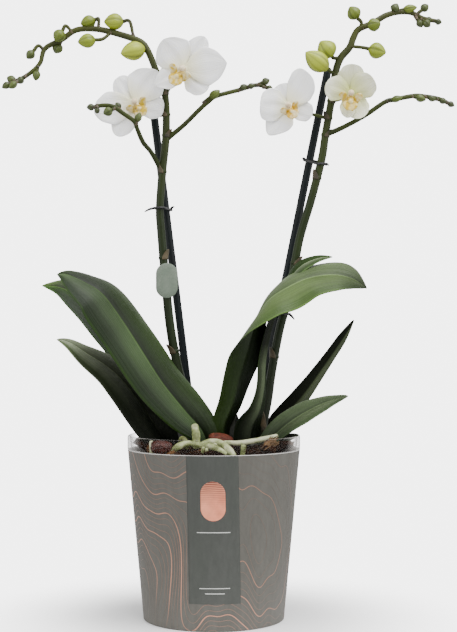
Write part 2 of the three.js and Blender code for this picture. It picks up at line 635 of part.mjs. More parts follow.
// Lip and column: a short hooded column, a tongue-like middle lobe and two upright side lobes.
function lipSolid(bloom) {
  const column = stemSolid([[0, 0, 2.2, 2.3], [0, 0.6, 5, 2.2], [0, -0.4, 8, 2.5]], twigSides);
  const foot = stemSolid([[0, -1, 3.2, 1.7], [0, -3.6, 5, 1.7], [0, -5, 8, 2]], twigSides);
  const lobe = (side) => {
    const top = [];
    const bottom = [];
    for (let i = 0; i <= 3; i += 1) {
      const s = i / 3;
      const width = 0.8 + 3.2 * Math.sin(Math.PI * Math.min(0.9, s * 0.8 + 0.1));
      const x = side * (1.6 + 5 * s);
      const y = -3.6 + 2.4 * s * s;
      const z = 5.6 + 2.6 * s;
      top.push([-1, 0, 1].map((v) => new THREE.Vector3(x, y + 0.5 + 0.4 * v, z + v * width)));
      bottom.push([-1, 0, 1].map((v) => new THREE.Vector3(x, y - 0.5 + 0.4 * v, z + v * width)));
    }
    return solidOf(slabGeometry(top, bottom, side < 0));
  };
  const tongueTop = [];
  const tongueBottom = [];
  for (let i = 0; i <= 3; i += 1) {
    const s = i / 3;
    const width = 1.2 + 2.6 * Math.sin(Math.PI * (0.15 + 0.8 * s));
    const row = (height) => [-1, 0, 1].map((v) => {
      const z = height + 1.5 * s - 0.5 * v * v;
      return new THREE.Vector3(v * width, -4.6 - 5.4 * s, z);
    });
    tongueTop.push(row(7.6));
    tongueBottom.push(row(6.6));
  }
  const tongue = solidOf(slabGeometry(tongueTop, tongueBottom, true));
  const turn = THREE.MathUtils.degToRad(180 - bloom.lipAngle);
  const geometry = geometryOf(joined([column, foot, lobe(1), lobe(-1), tongue]));
  geometry.rotateZ(turn);
  return cutClear(solidOf(geometry), [tepalsSolid(bloom, fitGap)]);
}

const part = new THREE.Group();

function addPiece(parent, name, geometry, color, roughness, metalness = 0) {
  const material = new THREE.MeshStandardMaterial({ color, roughness, metalness });
  const piece = new THREE.Mesh(geometry, material);
  piece.name = name;
  parent.add(piece);
  return piece;
}

// Pot, sleeve and the plants' lower pieces, each cut clear of what it touches.
addPiece(part, 'sleeve', geometryOf(sleeveSolid()), colours.sleeve, 0.7);
addPiece(part, 'grow_pot', geometryOf(growPotSolid()), colours.clearPot, 0.2);

const stakeHoles = Object.values(stakes).map((rows) => stemSolid(rows, stemSides, fitGap));
const spikeHoles = Object.values(spikes).map(spikeHole);
const rods = [...stakeHoles, ...spikeHoles];
const crownHoles = Object.values(crowns).map((crown) => crownSolid(crown, fitGap));
const taken = [...rods, ...crownHoles];

for (const [name, crown] of Object.entries(crowns)) {
  addPiece(part, name, geometryOf(cutClear(crownSolid(crown), rods)), colours.crown, 0.6);
}

for (const [name, leaf] of Object.entries(leaves)) {
  const blade = cutClear(leafSolid(leaf), taken);
  const colour = name === 'leaf_right_front' ? colours.paleLeaf : colours.leaf;
  addPiece(part, name, geometryOf(blade), colour, 0.4);
  taken.push(leafSolid(leaf, fitGap));
}

for (const [name, { place, size, turn }] of Object.entries(bigChips)) {
  addPiece(part, name, geometryOf(cutClear(chipSolid(place, size, turn), taken)), colours.chip, 0.9);
  taken.push(chipSolid(place, size, turn, fitGap));
}

for (const [name, roots] of Object.entries(rootSets)) {
  const body = joined(roots.map((rows) => stemSolid(rows, twigSides)));
  addPiece(part, name, geometryOf(cutClear(body, taken)), colours.root, 0.6);
  taken.push(joined(roots.map((rows) => stemSolid(rows, twigSides, fitGap))));
}

addPiece(part, 'growing_medium', geometryOf(cutClear(mediumSolid(), taken)), colours.medium, 0.95);

// Stakes, spikes, ties and the tag.
for (const [name, rows] of Object.entries(stakes)) {
  addPiece(part, name, geometryOf(stemSolid(rows, stemSides)), colours.stake, 0.45);
}
for (const [name, spike] of Object.entries(spikes)) {
  addPiece(part, name, geometryOf(spikeSolid(spike)), colours.stem, 0.5);
}
for (const [name, tie] of Object.entries(ties)) {
  addPiece(part, name, geometryOf(tieSolid(tie)), colours.wire, 0.5);
}
const tag = addPiece(part, 'name_tag', tagGeometry(), colours.tag, 0.6);
tag.position.set(...tagPlace);

// Blooms: the tepals of each are one piece, and its lip and column another.
for (const [name, bloom] of Object.entries(blooms)) {
  const stand = new THREE.Group();
  const facing = new THREE.Group();
  stand.position.set(...bloom.place);
  stand.rotation.z = THREE.MathUtils.degToRad(bloom.yaw);
  facing.rotation.x = Math.PI / 2 + THREE.MathUtils.degToRad(bloom.nod);
  stand.add(facing);
  part.add(stand);
  const colour = name === 'bloom_right_high' ? colours.youngTepal : colours.tepal;
  addPiece(facing, `${name}_tepals`, geometryOf(tepalsSolid(bloom)), colour, 0.6);
  addPiece(facing, `${name}_lip`, geometryOf(lipSolid(bloom)), colours.lip, 0.55);
}

export default part;
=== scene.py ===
import bpy
import numpy as np
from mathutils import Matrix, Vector


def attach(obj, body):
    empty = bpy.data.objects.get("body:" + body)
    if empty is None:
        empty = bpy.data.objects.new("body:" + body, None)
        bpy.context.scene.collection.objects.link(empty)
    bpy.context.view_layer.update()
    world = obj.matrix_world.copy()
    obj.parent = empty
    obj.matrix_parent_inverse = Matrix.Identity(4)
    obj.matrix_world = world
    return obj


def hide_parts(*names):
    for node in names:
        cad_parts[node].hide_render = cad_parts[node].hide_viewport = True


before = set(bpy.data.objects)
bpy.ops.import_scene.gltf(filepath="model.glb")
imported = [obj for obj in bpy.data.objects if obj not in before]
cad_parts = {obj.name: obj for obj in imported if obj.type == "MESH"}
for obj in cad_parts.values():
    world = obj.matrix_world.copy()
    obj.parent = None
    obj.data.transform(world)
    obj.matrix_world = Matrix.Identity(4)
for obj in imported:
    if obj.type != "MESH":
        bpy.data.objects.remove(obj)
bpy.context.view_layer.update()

# Camera. It stands a metre in front of the pot, at the height of the leaf tips, with a long lens,
# so that the plant fills an upright frame and the pot sits a little left of the middle.
focal_pixels = 1347
frame_height = 632
sensor_width = 36
camera_place = (0, -1.022, 0.208)
camera_turn = (91.09, 0, -0.62)
camera_data = bpy.data.cameras.new("camera")
camera_data.sensor_width = sensor_width
camera_data.lens = sensor_width * focal_pixels / frame_height
camera = bpy.data.objects.new("camera", camera_data)
camera.location = camera_place
camera.rotation_euler = np.radians(camera_turn)
bpy.context.scene.collection.objects.link(camera)
bpy.context.scene.camera = camera

# Studio. A white room that shows brighter than it lights, a broad soft light from above and in
# front and a weaker one from each side, over a pale floor that the pot stands on.
room_light = 1.05
room_shown = 5
plant_middle = (0, 0, 0.25)
white = (1, 1, 1, 1)
# Each light has its place and width in metres, and its power in watts.
soft_lights = (("light_above", (0.35, -0.5, 1.5), 1.2, 34), ("light_left", (-1.3, -0.9, 0.7), 1.0, 10),
               ("light_right", (1.4, -0.7, 0.6), 1.0, 10))
for name, place, width, power in soft_lights:
    light_data = bpy.data.lights.new(name, "AREA")
    light_data.size = width
    light_data.energy = power
    light = bpy.data.objects.new(name, light_data)
    light.location = place
    light.rotation_euler = (Vector(plant_middle) - Vector(place)).to_track_quat("-Z", "Y").to_euler()
    bpy.context.scene.collection.objects.link(light)


class Nodes:
    """A tree of shader nodes. Each method adds a node, from values or from outputs that feed it,
    and gives back what comes out of it."""

    def __init__(self, tree):
        self.tree = tree

    def add(self, kind, sockets, output=0, **settings):
        """Any node: sockets pairs an input's name or number with what goes in."""
        made = self.tree.nodes.new("ShaderNode" + kind)
        for key, value in settings.items():
            setattr(made, key, value)
        for key, value in sockets.items():
            if isinstance(value, bpy.types.NodeSocket):
                self.tree.links.new(value, made.inputs[key])
            else:
                made.inputs[key].default_value = value
        return made.outputs[output]

    def math(self, operation, *values, **settings):
        """A sum, a product or a comparison of numbers."""
        return self.add("Math", dict(enumerate(values)), operation=operation, **settings)

    def times(self, first, *factors):
        """The product of numbers."""
        for factor in factors:
            first = self.math("MULTIPLY", first, factor)
        return first

    def shaded(self, colour, shade):
        """A colour or a place, times a shade or a stretch."""
        return self.add("VectorMath", {0: colour, 1: shade}, operation="MULTIPLY")

    def mix(self, share, first, second):
        """The first colour at a share of nought and the second at one."""
        return self.add("Mix", {0: share, 6: first, 7: second}, 2, data_type="RGBA")

    def spread(self, value, start=0, stop=1, low=0, high=1, **settings):
        """A value between start and stop, carried over to low and high and held there."""
        return self.add("MapRange", {0: value, 1: start, 2: stop, 3: low, 4: high}, **settings)

    def place(self):
        """Where the surface lies, in metres."""
        return self.add("TexCoord", {}, "Object")

    def noise(self, scale, detail, place=None):
        """A cloudy value about a half, in so many swells to the metre."""
        place = self.place() if place is None else place
        return self.add("TexNoise", {"Vector": place, "Scale": scale, "Detail": detail})

    def tint(self):
        """The three values that a piece's points carry."""
        colour = self.add("Attribute", {}, "Color", attribute_name="tint")
        return self.add("SeparateColor", {0: colour}, slice(3))

    def ramp(self, value, stops):
        """Colours from pairs of a value and the colour there, blended evenly between them."""
        ramp = self.add("ValToRGB", {0: value})
        elements = ramp.node.color_ramp.elements
        for number, (place, colour) in enumerate(stops):
            last = number == len(stops) - 1
            element = elements[-1 if last else 0] if number == 0 or last else elements.new(place)
            element.position = place
            element.color = colour
        return ramp


world = bpy.data.worlds.new("white_room")
world.use_nodes = True
room = Nodes(world.node_tree)
seen = room.add("LightPath", {}, "Is Camera Ray")
strength = room.math("MULTIPLY_ADD", seen, room_shown - room_light, room_light)
background = room.tree.nodes["Background"]
background.inputs["Color"].default_value = white
room.tree.links.new(strength, background.inputs["Strength"])
bpy.context.scene.world = world


def tone(red, green, blue):
    """A screen colour, 0 to 255 a channel, as the linear colour that a shader takes."""
    share = np.array((red, green, blue)) / 255
    curve = np.where(share <= 0.04045, share / 12.92, ((share + 0.055) / 1.055) ** 2.4)
    return (*curve, 1.0)


class Finish(Nodes):
    """A material, whose shader's own sockets are set by name."""

    def __init__(self, name, **sockets):
        self.material = bpy.data.materials.new(name)
        self.material.use_nodes = True
        super().__init__(self.material.node_tree)
        self.shader = self.tree.nodes["Principled BSDF"]
        for socket, value in sockets.items():
            self.shader.inputs[socket.replace("_", " ")].default_value = value

    def mottle(self, dark, light, scale, stretch=(1, 1, 1)):
        """The colour and the height that the mottle group gives."""
        return self.add("Group", {"Dark": dark, "Light": light, "Scale": scale, "Stretch": stretch},
                        slice(2), node_tree=mottle_group)

    def feed(self, grain=None, depth=0, **outputs):
        """The material, once outputs are linked to its shader, and a grain of a depth in metres."""
        if grain is not None:
            outputs["Normal"] = self.add("Bump", {"Height": grain, "Distance": depth}, "Normal")
        for socket, output in outputs.items():
            self.tree.links.new(output, self.shader.inputs[socket.replace("_", " ")])
        return self.material


def flat_piece(name, shape, material, smooth=True):
    """A mesh from a shape: points in millimetres, lists of faces and, where the material reads it,
    a tint of three values for each point."""
    points, faces, *tints = shape
    mesh = bpy.data.meshes.new(name)
    mesh.from_pydata((np.asarray(points) / 1000).tolist(), [], faces)
    mesh.polygons.foreach_set("use_smooth", np.full(len(mesh.polygons), smooth))
    for tint in tints:
        values = np.column_stack([tint, np.ones(len(tint))]).astype(np.float32)
        mesh.attributes.new("tint", "FLOAT_COLOR", "POINT").data.foreach_set("color", values.ravel())
    mesh.materials.append(material)
    piece = bpy.data.objects.new(name, mesh)
    bpy.context.scene.collection.objects.link(piece)
    return piece


floor_half = 900
floor_height = -0.3
floor_full_to = 0.065
floor_gone_at = 0.21


def floor_finish():
    """White table top that fades out from the pot: its cover falls from one to nothing with the
    distance from the pot's middle, along a smooth step."""
    finish = Finish("pale_floor", Roughness=0.7, Base_Color=tone(246, 246, 246))
    away = finish.add("VectorMath", {0: finish.place()}, "Value", operation="LENGTH")
    cover = finish.spread(away, floor_full_to, floor_gone_at, 1, 0, interpolation_type="SMOOTHSTEP")
    return finish.feed(Alpha=cover)


floor_corners = [(x * floor_half, y * floor_half, floor_height)
                 for x, y in ((-1, -1), (1, -1), (1, 1), (-1, 1))]
floor = flat_piece("floor", (floor_corners, [[0, 1, 2, 3]]), floor_finish(), smooth=False)


def plant_piece(name, shape, material, nodes=(), smooth=True):
    """A piece of the object: it rides on the root body, takes the given finish and stands for the
    named solids, which it hides."""
    piece = flat_piece(name, shape, material, smooth)
    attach(piece, "root")
    if nodes:
        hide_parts(*nodes)


# Sleeve. A tapered cover of warm grey card, open at both ends, with a white cut edge. It carries
# printed contour lines in copper, and in front a darker label panel with a plain copper seal.
sleeve_height = 127
sleeve_top_radius = 65
sleeve_foot_radius = 53
card_grey = (79, 77, 71)
bare_card = (222, 219, 215)
print_depth = 0.3
cut_edge = 0.25
paper_scale = 60
paper_stretch = (1, 1, 0.3)
paper_grain = 0.00003


def make_mottle_group():
    """Shader group: a broad noise blends a dark and a light colour, and a fine noise six times
    its scale shades them a little and gives the height."""
    group = Nodes(bpy.data.node_groups.new("mottle", "ShaderNodeTree"))
    for way, name, kind in (("INPUT", "Dark", "Color"), ("INPUT", "Light", "Color"),
                            ("INPUT", "Scale", "Float"), ("INPUT", "Stretch", "Vector"),
                            ("OUTPUT", "Colour", "Color"), ("OUTPUT", "Height", "Float")):
        group.tree.interface.new_socket(name, in_out=way, socket_type="NodeSocket" + kind)
    dark, light, scale, stretch = group.tree.nodes.new("NodeGroupInput").outputs[:4]
    place = group.shaded(group.place(), stretch)
    fine = group.noise(group.times(scale, 6), 4, place)
    blend = group.mix(group.spread(group.noise(scale, 3, place), 0.35, 0.65), dark, light)
    end = group.tree.nodes.new("NodeGroupOutput")
    group.tree.links.new(group.shaded(blend, group.spread(fine, 0, 1, 0.75, 1.2)), end.inputs[0])
    group.tree.links.new(fine, end.inputs[1])
    return group.tree


mottle_group = make_mottle_group()


def mottled_finish(name, dark, light, scale, depth, stretch=(1, 1, 1), **sockets):
    """A material in two blended tones with a fine grain of the given depth in metres."""
    finish = Finish(name, **sockets)
    paint, grain = finish.mottle(tone(*dark), tone(*light), scale, stretch)
    return finish.feed(grain, depth, Base_Color=paint)


def grid(*parts):
    """Numbers, rows and columns spread over one grid and stacked as its coordinates."""
    return np.stack(np.broadcast_arrays(*parts), -1)


def even_turns(sides):
    """The angles of a ring's points."""
    return 2 * np.pi * np.arange(sides) / sides


def ringed(points, *tint, closed=False):
    """A shape from rings of points: quads between rings that follow one another, with one face
    over each end ring, or with the last ring joined to the first."""
    rings, sides = points.shape[:2]
    ring, side = np.indices((rings if closed else rings - 1, sides))
    across, after = (side + 1) % sides, (ring + 1) % rings
    quads = grid(ring * sides + side, ring * sides + across, after * sides + across, after * sides + side)
    faces = quads.reshape(-1, 4).tolist()
    if not closed:
        faces += [list(range(sides))[::-1], list(range((rings - 1) * sides, rings * sides))]
    return points.reshape(-1, 3), faces, *(part.reshape(-1, 3) for part in tint)


def turned_shape(profile, sides, closed=True):
    """A wall turned about the upright axis: the profile's points go round its section, from radius
    and height, and each point turns into a ring."""
    radius, height = np.asarray(profile, float).T[..., None]
    angle = even_turns(sides)
    return ringed(grid(radius * np.sin(angle), -radius * np.cos(angle), height), closed=closed)


def sleeve_radius(height):
    """The card's outer radius, which widens evenly from the foot to the top edge."""
    return sleeve_foot_radius + (sleeve_top_radius - sleeve_foot_radius) * height / sleeve_height


def card_finish():
    """Grey printed card outside with a faint paper grain, and bare white card on the cut edges and
    inside: the outside is where the surface lies close to the outer cone."""
    finish = Finish("printed_card", Roughness=0.62)
    x, y, height = finish.add("SeparateXYZ", {0: finish.place()}, slice(3))
    radius = finish.add("VectorMath", {0: finish.add("CombineXYZ", {0: x, 1: y})}, "Value",
                        operation="LENGTH")
    slope = (sleeve_top_radius - sleeve_foot_radius) / sleeve_height
    cone = finish.math("MULTIPLY_ADD", height, slope, (sleeve_foot_radius - print_depth) / 1000)
    below_edge = finish.math("LESS_THAN", height, (sleeve_height - cut_edge) / 1000)
    printed = finish.times(finish.math("GREATER_THAN", radius, cone), below_edge)
    light_grey = (shade + 4 for shade in card_grey)
    paint, grain = finish.mottle(tone(*card_grey), tone(*light_grey), paper_scale, paper_stretch)
    return finish.feed(grain, paper_grain, Base_Color=finish.mix(printed, tone(*bare_card), paint))


sleeve_wall = [
    (52.1, 0), (52.85, 0), (53, 0.2), (53.06, 0.6), (59, 63.5), (64.94, 126.4), (64.98, 126.8),
    (64.8, 127), (64.1, 127), (63.9, 126.8), (63.84, 126.4), (57.9, 63.5), (51.96, 0.6), (51.95, 0.2),
]
plant_piece("sleeve_card", turned_shape(sleeve_wall, 192), card_finish(), ["sleeve"])
level_count = 5
bold_every = 4
bold_width = 0.6
fine_width = 0.3
line_overlap = 0.12
line_lift = 0.05
line_sink = -0.2
line_seed = 23
field_waves = (1, 2, 2, 3, 3, 4, 5, 8, 13, 21)
wave_strength = 0.85


def on_card(across, height, lift):
    """Points on the card's outer face: across runs round it from the front in millimetres, height
    up it, and lift stands off it."""
    radius = sleeve_radius(height)
    angle = across / radius
    return grid((radius + lift) * np.sin(angle), -(radius + lift) * np.cos(angle), height)


def contour_lines(columns=420, rows=130):
    """Level lines of a smooth field on the card. The field is a sum of waves round and up the cone,
    seeded, and each level crosses the sides of a grid's cells at a share worked out by straight
    interpolation. Each crossing pair is a segment in turns and height, with its level's number."""
    random = np.random.default_rng(line_seed)
    turn = np.linspace(0, 2 * np.pi, columns + 1)
    height = np.linspace(0.5, sleeve_height - 0.7, rows + 1)[:, None]
    field = 0.9 * np.cos(turn - 0.6) + height / sleeve_height
    for waves in field_waves:
        up = random.uniform(-0.055, 0.055) * max(1, waves / 6)
        wave = np.cos(waves * turn + up * height + random.uniform(0, 2 * np.pi))
        field = field + wave * wave_strength / waves**0.95
    corners = np.array([(0, 0), (0, 1), (1, 1), (1, 0)])
    cut = [field[i:rows + i, j:columns + j].ravel() for i, j in corners]
    cell = grid(turn[:-1], height[:-1]).reshape(-1, 2)
    step = np.array([turn[1], height[1, 0] - height[0, 0]])
    segments = []
    for level in range(-30, 31):
        ends, crossed = [], []
        for side in range(4):
            near, far = cut[side], cut[(side + 1) % 4]
            share = (level / level_count - near) / (far - near)
            spot = corners[side] + share[:, None] * (corners[(side + 1) % 4] - corners[side])
            ends.append(cell + spot[:, ::-1] * step)
            crossed.append((share >= 0) & (share < 1))
        ends, crossed = np.stack(ends, 1), np.stack(crossed, 1)
        pair = np.argsort(~crossed, axis=1, kind="stable")
        held = np.flatnonzero(crossed.sum(1) == 2)
        start, stop = (ends[held, pair[held, k]] for k in (0, 1))
        segments.append(np.column_stack([start, stop, np.full(len(held), level)]))
    return np.concatenate(segments)


def unit(vectors):
    """Each vector divided by its own length."""
    return vectors / np.maximum(np.linalg.norm(vectors, axis=-1, keepdims=True), 1e-9)


def line_shapes(segments):
    """A thin raised bar for each segment: half a line's width to each side of it on the card, a
    little longer than it so that bars meet, from inside the card to just proud of it. The tint is
    the strength of the print, which comes and goes in slow waves."""
    bold = segments[:, 4].astype(int) % bold_every == 0
    turn, height = segments[:, [0, 2]], segments[:, [1, 3]]
    ends = grid(turn * sleeve_radius(height), height)
    along = unit(ends[:, 1] - ends[:, 0])
    sideways = along[:, ::-1] * (-1, 1) * np.where(bold, bold_width, fine_width)[:, None] / 2
    start, stop = ends[:, 0] - along * line_overlap, ends[:, 1] + along * line_overlap
    corners = np.stack([start - sideways, stop - sideways, stop + sideways, start + sideways], 1)
    across, up = corners[..., 0], np.clip(corners[..., 1], 0.2, sleeve_height - 0.3)
    points = np.concatenate([on_card(across, up, lift) for lift in (line_lift, line_sink)], 1)
    box = np.array([[0, 1, 2, 3], [7, 6, 5, 4], [0, 4, 5, 1], [1, 5, 6, 2], [2, 6, 7, 3], [3, 7, 4, 0]])
    faces = (np.arange(len(segments))[:, None, None] * 8 + box).reshape(-1, 4)
    turn, height = turn.mean(1), height.mean(1)
    patches = np.cos(2 * turn - 1.2 + height * 0.03) + 0.6 * np.cos(3 * turn + height * 0.05)
    strength = np.clip(np.where(bold, 0.5 + 0.4 * patches, 0.16 + 0.16 * patches), 0.05, 0.9)
    return points.reshape(-1, 3), faces.tolist(), np.repeat(strength, 24).reshape(-1, 3)


def print_finish():
    """Copper print, dulled towards the card's grey where the tint is low."""
    finish = Finish("copper_print", Roughness=0.38, Metallic=0.25)
    strength = finish.add("Attribute", {}, "Fac", attribute_name="tint")
    return finish.feed(Base_Color=finish.mix(strength, tone(*card_grey), tone(196, 138, 112)))


def seal_finish():
    """Copper foil that darkens towards its top, where fine wavy ribs are drawn as lines of painted shade.
    """
    finish = Finish("copper_foil", Roughness=0.38, Metallic=0.25)
    copper = finish.mottle(tone(226, 128, 96), tone(246, 158, 124), 40)[0]
    # The ribs are painted shade: dark wavy lines in the colour, with no relief.
    ribs = finish.add("TexWave", {"Vector": finish.place(), "Scale": 240, "Distortion": 2.5, "Detail": 1.0,
                                  "Detail Scale": 0.4}, "Fac", bands_direction="Z")
    height = finish.add("SeparateXYZ", {0: finish.place()}, 2)
    climb = finish.spread(height, 0.09, 0.1075, 0.06, 1)
    share = finish.times(climb, finish.math("MULTIPLY_ADD", ribs, 0.7, 0.3))
    return finish.feed(Base_Color=finish.mix(share, copper, tone(74, 26, 22)))


plant_piece("sleeve_lines", line_shapes(contour_lines()), print_finish(), smooth=False)
label_foot = 1.3
label_top = -1.3
label_sink = -0.3


def two_faced(front, rear, turned_over=False):
    """A closed sheet from the grids of points on its two faces: each ring runs over the front and
    back along the rear. The tint is the shares across and along, and one on the front alone."""
    rows, columns = front.shape[:2]
    points = np.concatenate([front, rear[:, ::-1]], 1)
    across = np.linspace(0, 1, columns)
    along = np.linspace(0, 1, rows)[:, None]
    tint = grid(np.append(across, across[::-1]), along, np.repeat([1.0, 0.0], columns))
    if turned_over:
        points, tint = points[:, ::-1], tint[:, ::-1]
    return ringed(points, tint)


def label_shape(low, high, half, corner, lift, rows, columns=24):
    """A thin layer on the front of the card between two heights, about the label's middle, which
    leans a little. It is half its width to each side, less what a round corner takes: the corner
    times one less the root of one less the square of the way into it."""
    share = np.sin(np.linspace(-np.pi / 2, np.pi / 2, rows))[:, None] / 2 + 0.5
    height = low + (high - low) * share
    middle = label_foot + (label_top - label_foot) * height / sleeve_height
    straight = (high - low) / 2 - corner
    past = np.maximum(0, np.abs(2 * share - 1) * (high - low) / 2 - straight) / max(corner, 1e-6)
    reach = half - corner + corner * np.sqrt(np.maximum(1.0001 - past**2, 0))
    across = np.linspace(-1, 1, columns) * reach + middle
    return two_faced(*(on_card(across, height, off) for off in (lift, label_sink)))[:2]


label_finish = mottled_finish("label_print", (56, 59, 54), (60, 62, 58), paper_scale, paper_grain,
                              paper_stretch, Roughness=0.6)
rule_finish = mottled_finish("label_rules", (196, 198, 194), (206, 208, 203), 80, 0.00002, Roughness=0.6)
# Each layer has its finish, its two heights, half its width, its corners, its lift and its rings.
label_layers = {
    "label_panel": (label_finish, 20, 126.8, 18.9, 0, 0.09, 40),
    "label_seal": (seal_finish(), 80.2, 108.5, 8.9, 8.9, 0.13, 40),
    "label_rule_wide": (rule_finish, 71.6, 72.15, 12, 0, 0.13, 4),
    "label_rule_long": (rule_finish, 31.2, 31.75, 11, 0, 0.13, 4),
    "label_rule_short": (rule_finish, 27.4, 27.95, 7, 0, 0.13, 4),
}
for name, (finish, *layer) in label_layers.items():
    plant_piece(name, label_shape(*layer), finish)


# Grow pot. A thin clear plastic cup, moulded in one piece, that hangs by its stepped rim band on
# the sleeve's top edge, with drain holes in its floor.
pot_wall = [
    (49.2, 0), (50.2, 0), (50.4, 0.3), (56.3, 63), (62.25, 126.8), (62.5, 127.3), (64.9, 127.3),
    (65.2, 127.6), (65.2, 128.2), (65.2, 135.8), (65.15, 136.5), (64.9, 137.1), (64.4, 137.5),
    (63.8, 137.5), (63.4, 137), (63.3, 136), (63, 129.9), (62.6, 128.4), (61.3, 126.9), (61, 126),
    (55.1, 63), (49.2, 1.6),
]
drain_hole_radius = 4
drain_circle_radius = 30
floor_radius = 49.2
floor_thickness = 1.6


def turned(points, axis, angle):
    """Points turned about an axis: of the two other coordinates, in cyclic order, the first becomes
    the cosine times itself less the sine times the second, and the second the sine times the first
    and the cosine times itself."""
    first, second = points[..., (axis + 1) % 3], points[..., (axis + 2) % 3]
    made = points.copy()
    made[..., (axis + 1) % 3] = np.cos(angle) * first - np.sin(angle) * second
    made[..., (axis + 2) % 3] = np.sin(angle) * first + np.cos(angle) * second
    return made


def pot_floor_sector(middle_angle):
    """A sixth of the floor round its drain hole: in each direction from the hole's middle the
    plate runs from the hole's edge to the nearer of the two straight sides and the outer circle."""
    corner = np.arctan2(floor_radius * 0.5, floor_radius * np.cos(np.pi / 6) - drain_circle_radius)
    turn = np.sort(np.append(np.radians(np.arange(0, 360, 12)), (corner, 2 * np.pi - corner)))
    x, y = np.cos(turn), np.sin(turn)
    lean = np.abs(y) * np.cos(np.pi / 6) - x / 2
    to_side = np.where(lean > 1e-3, drain_circle_radius / 2 / np.maximum(lean, 1e-3), 1e3)
    shift = drain_circle_radius * x
    to_circle = -shift + np.sqrt(shift**2 + floor_radius**2 - drain_circle_radius**2)
    reach = np.minimum(to_side, to_circle)
    rings = [grid(x * radius + drain_circle_radius, y * radius, height) for radius, height in (
        (drain_hole_radius, floor_thickness), (drain_hole_radius, 0), (reach, 0), (reach, floor_thickness))]
    return ringed(turned(np.stack(rings), 2, middle_angle), closed=True)


def join_shapes(shapes):
    """Several shapes as one: their points in turn, each one's faces counted on from them, and
    their tints."""
    points, faces, *tints = zip(*shapes)
    starts = np.cumsum([0] + [len(part) for part in points])
    faces = [[k + start for k in face] for part, start in zip(faces, starts) for face in part]
    return np.concatenate(points), faces, *(np.concatenate(tint) for tint in tints)


def clear_plastic_finish():
    """Clear, slightly clouded plastic: it lets most light through face on, and at a slant it whitens
    with a painted reflection and the haze of a longer path through the wall.
    """
    finish = Finish("clear_plastic", Roughness=0.18)
    slant = finish.add("LayerWeight", {"Blend": 0.35}, "Facing")
    cloud = finish.noise(90, 3)
    # At a slant the cover rises towards the whitish tone: painted reflection and haze.
    cover = finish.spread(slant, 0.4, 0.88, 0.012, 0.95)
    alpha = finish.math("MULTIPLY", cover, finish.spread(cloud, 0, 1, 0.85, 1.15), use_clamp=True)
    shade = finish.mix(cloud, tone(168, 164, 160), tone(184, 180, 176))
    return finish.feed(Base_Color=shade, Alpha=alpha)


sectors = [pot_floor_sector(np.pi / 3 * k) for k in range(6)]
pot_shape = join_shapes([turned_shape(pot_wall, 160), *sectors])
plant_piece("pot_clear", pot_shape, clear_plastic_finish(), ["grow_pot"])


# Growing medium. A body of dark bark up to the rim band, covered with loose angular chips
# of pine bark, with three larger pieces of bark and husk lying on top.
def sphere_points(steepest, rings, sides):
    """A ball's points between two steepest tilts: the cosine of the tilt goes round, the sine up."""
    tilt = np.linspace(-steepest, steepest, rings)[:, None]
    angle = even_turns(sides)
    return grid(np.cos(tilt) * np.cos(angle), np.cos(tilt) * np.sin(angle), np.sin(tilt))


def chip_shapes(places, sizes, leans, seed, rings=6, sides=9, rough=0.16, box=0.5):
    """Angular chips: on a ball each coordinate is raised to a power below one, which squares it,
    and roughened by a seeded share, then sized, turned about its three axes and placed. All chips
    are worked out together, and each has a tint of its own."""
    random = np.random.default_rng(seed)
    ball = sphere_points(1.35, rings, sides)
    places, sizes, leans = (np.asarray(part, float)[:, None, None] for part in (places, sizes, leans))
    ragged = 1 + random.uniform(-rough, rough, (len(places), rings, sides, 1))
    chips = np.sign(ball) * np.abs(ball)**box * ragged * sizes / 2
    for axis in range(3):
        chips = turned(chips, axis, leans[..., axis])
    mixes = random.uniform(0, 1, (len(places), 3))
    return join_shapes([ringed(chip, np.broadcast_to(mix, chip.shape))
                        for chip, mix in zip(chips + places, mixes)])


def bark_finish(name, dark, middle, light, roughness=0.9, gloss=0.03):
    """Bark in three tones, one mix for each chip, with a fibrous grain and dark pits."""
    finish = Finish(name, Roughness=roughness, Specular_IOR_Level=gloss)
    chip = finish.add("Attribute", {}, "Fac", attribute_name="tint")
    grain = finish.noise(420, 5)
    flecks = finish.math("MULTIPLY_ADD", finish.noise(130, 2), 0.9, -0.45)
    ramp = finish.ramp(finish.math("ADD", chip, flecks),
                       ((0, tone(*dark)), (0.62, tone(*middle)), (1, tone(*light))))
    paint = finish.shaded(ramp, finish.spread(grain, 0.3, 0.7, 0.45, 1.25))
    return finish.feed(grain, 0.0012, Base_Color=paint)


def with_tint(shape, value):
    """A shape with one value as the tint of all its points."""
    return shape[0], shape[1], np.full(shape[0].shape, float(value))


bark = bark_finish("bark", (9, 6, 4), (36, 20, 12), (88, 62, 38))
medium_outline = [(0.5, 2), (48.6, 2), (60.4, 124.6), (57, 125.6), (30, 126.6), (0.5, 127)]
medium = turned_shape(medium_outline, 64, closed=False)
plant_piece("medium_body", with_tint(medium, 0), bark, ["growing_medium"])
chip_count = 330
bark_radius = 57
bark_top = 127.6
bark_fall = 0.035
edge_heap = ((38, 54), (0, 5.5))
golden_turn = 2.39996
random = np.random.default_rng(5)
order = np.arange(chip_count)
distance = bark_radius * np.sqrt((order + 0.5) / chip_count)
angle = order * golden_turn + random.uniform(-0.3, 0.3, chip_count)
across = distance * np.cos(angle)
chip_height = bark_top - distance * bark_fall + random.uniform(-1.2, 1.8, chip_count)
chip_height += np.interp(abs(across), *edge_heap)
places = np.column_stack([across, distance * np.sin(angle), chip_height])
sizes, leans = (np.column_stack([random.uniform(*span, chip_count) for span in spans]) for spans in (
    ((6, 13), (4, 8), (2.4, 5)), ((-0.5, 0.5), (-0.5, 0.5), (0, np.pi))))
plant_piece("bark_chips", chip_shapes(places, sizes, leans, 8), bark, ["growing_medium"],
            smooth=False)
wet_bark = bark_finish("wet_bark", (22, 6, 3), (58, 19, 9), (104, 46, 25), 0.35, 0.25)
red_bark = bark_finish("red_bark", (30, 11, 7), (84, 38, 24), (140, 78, 54), 0.6, 0.2)
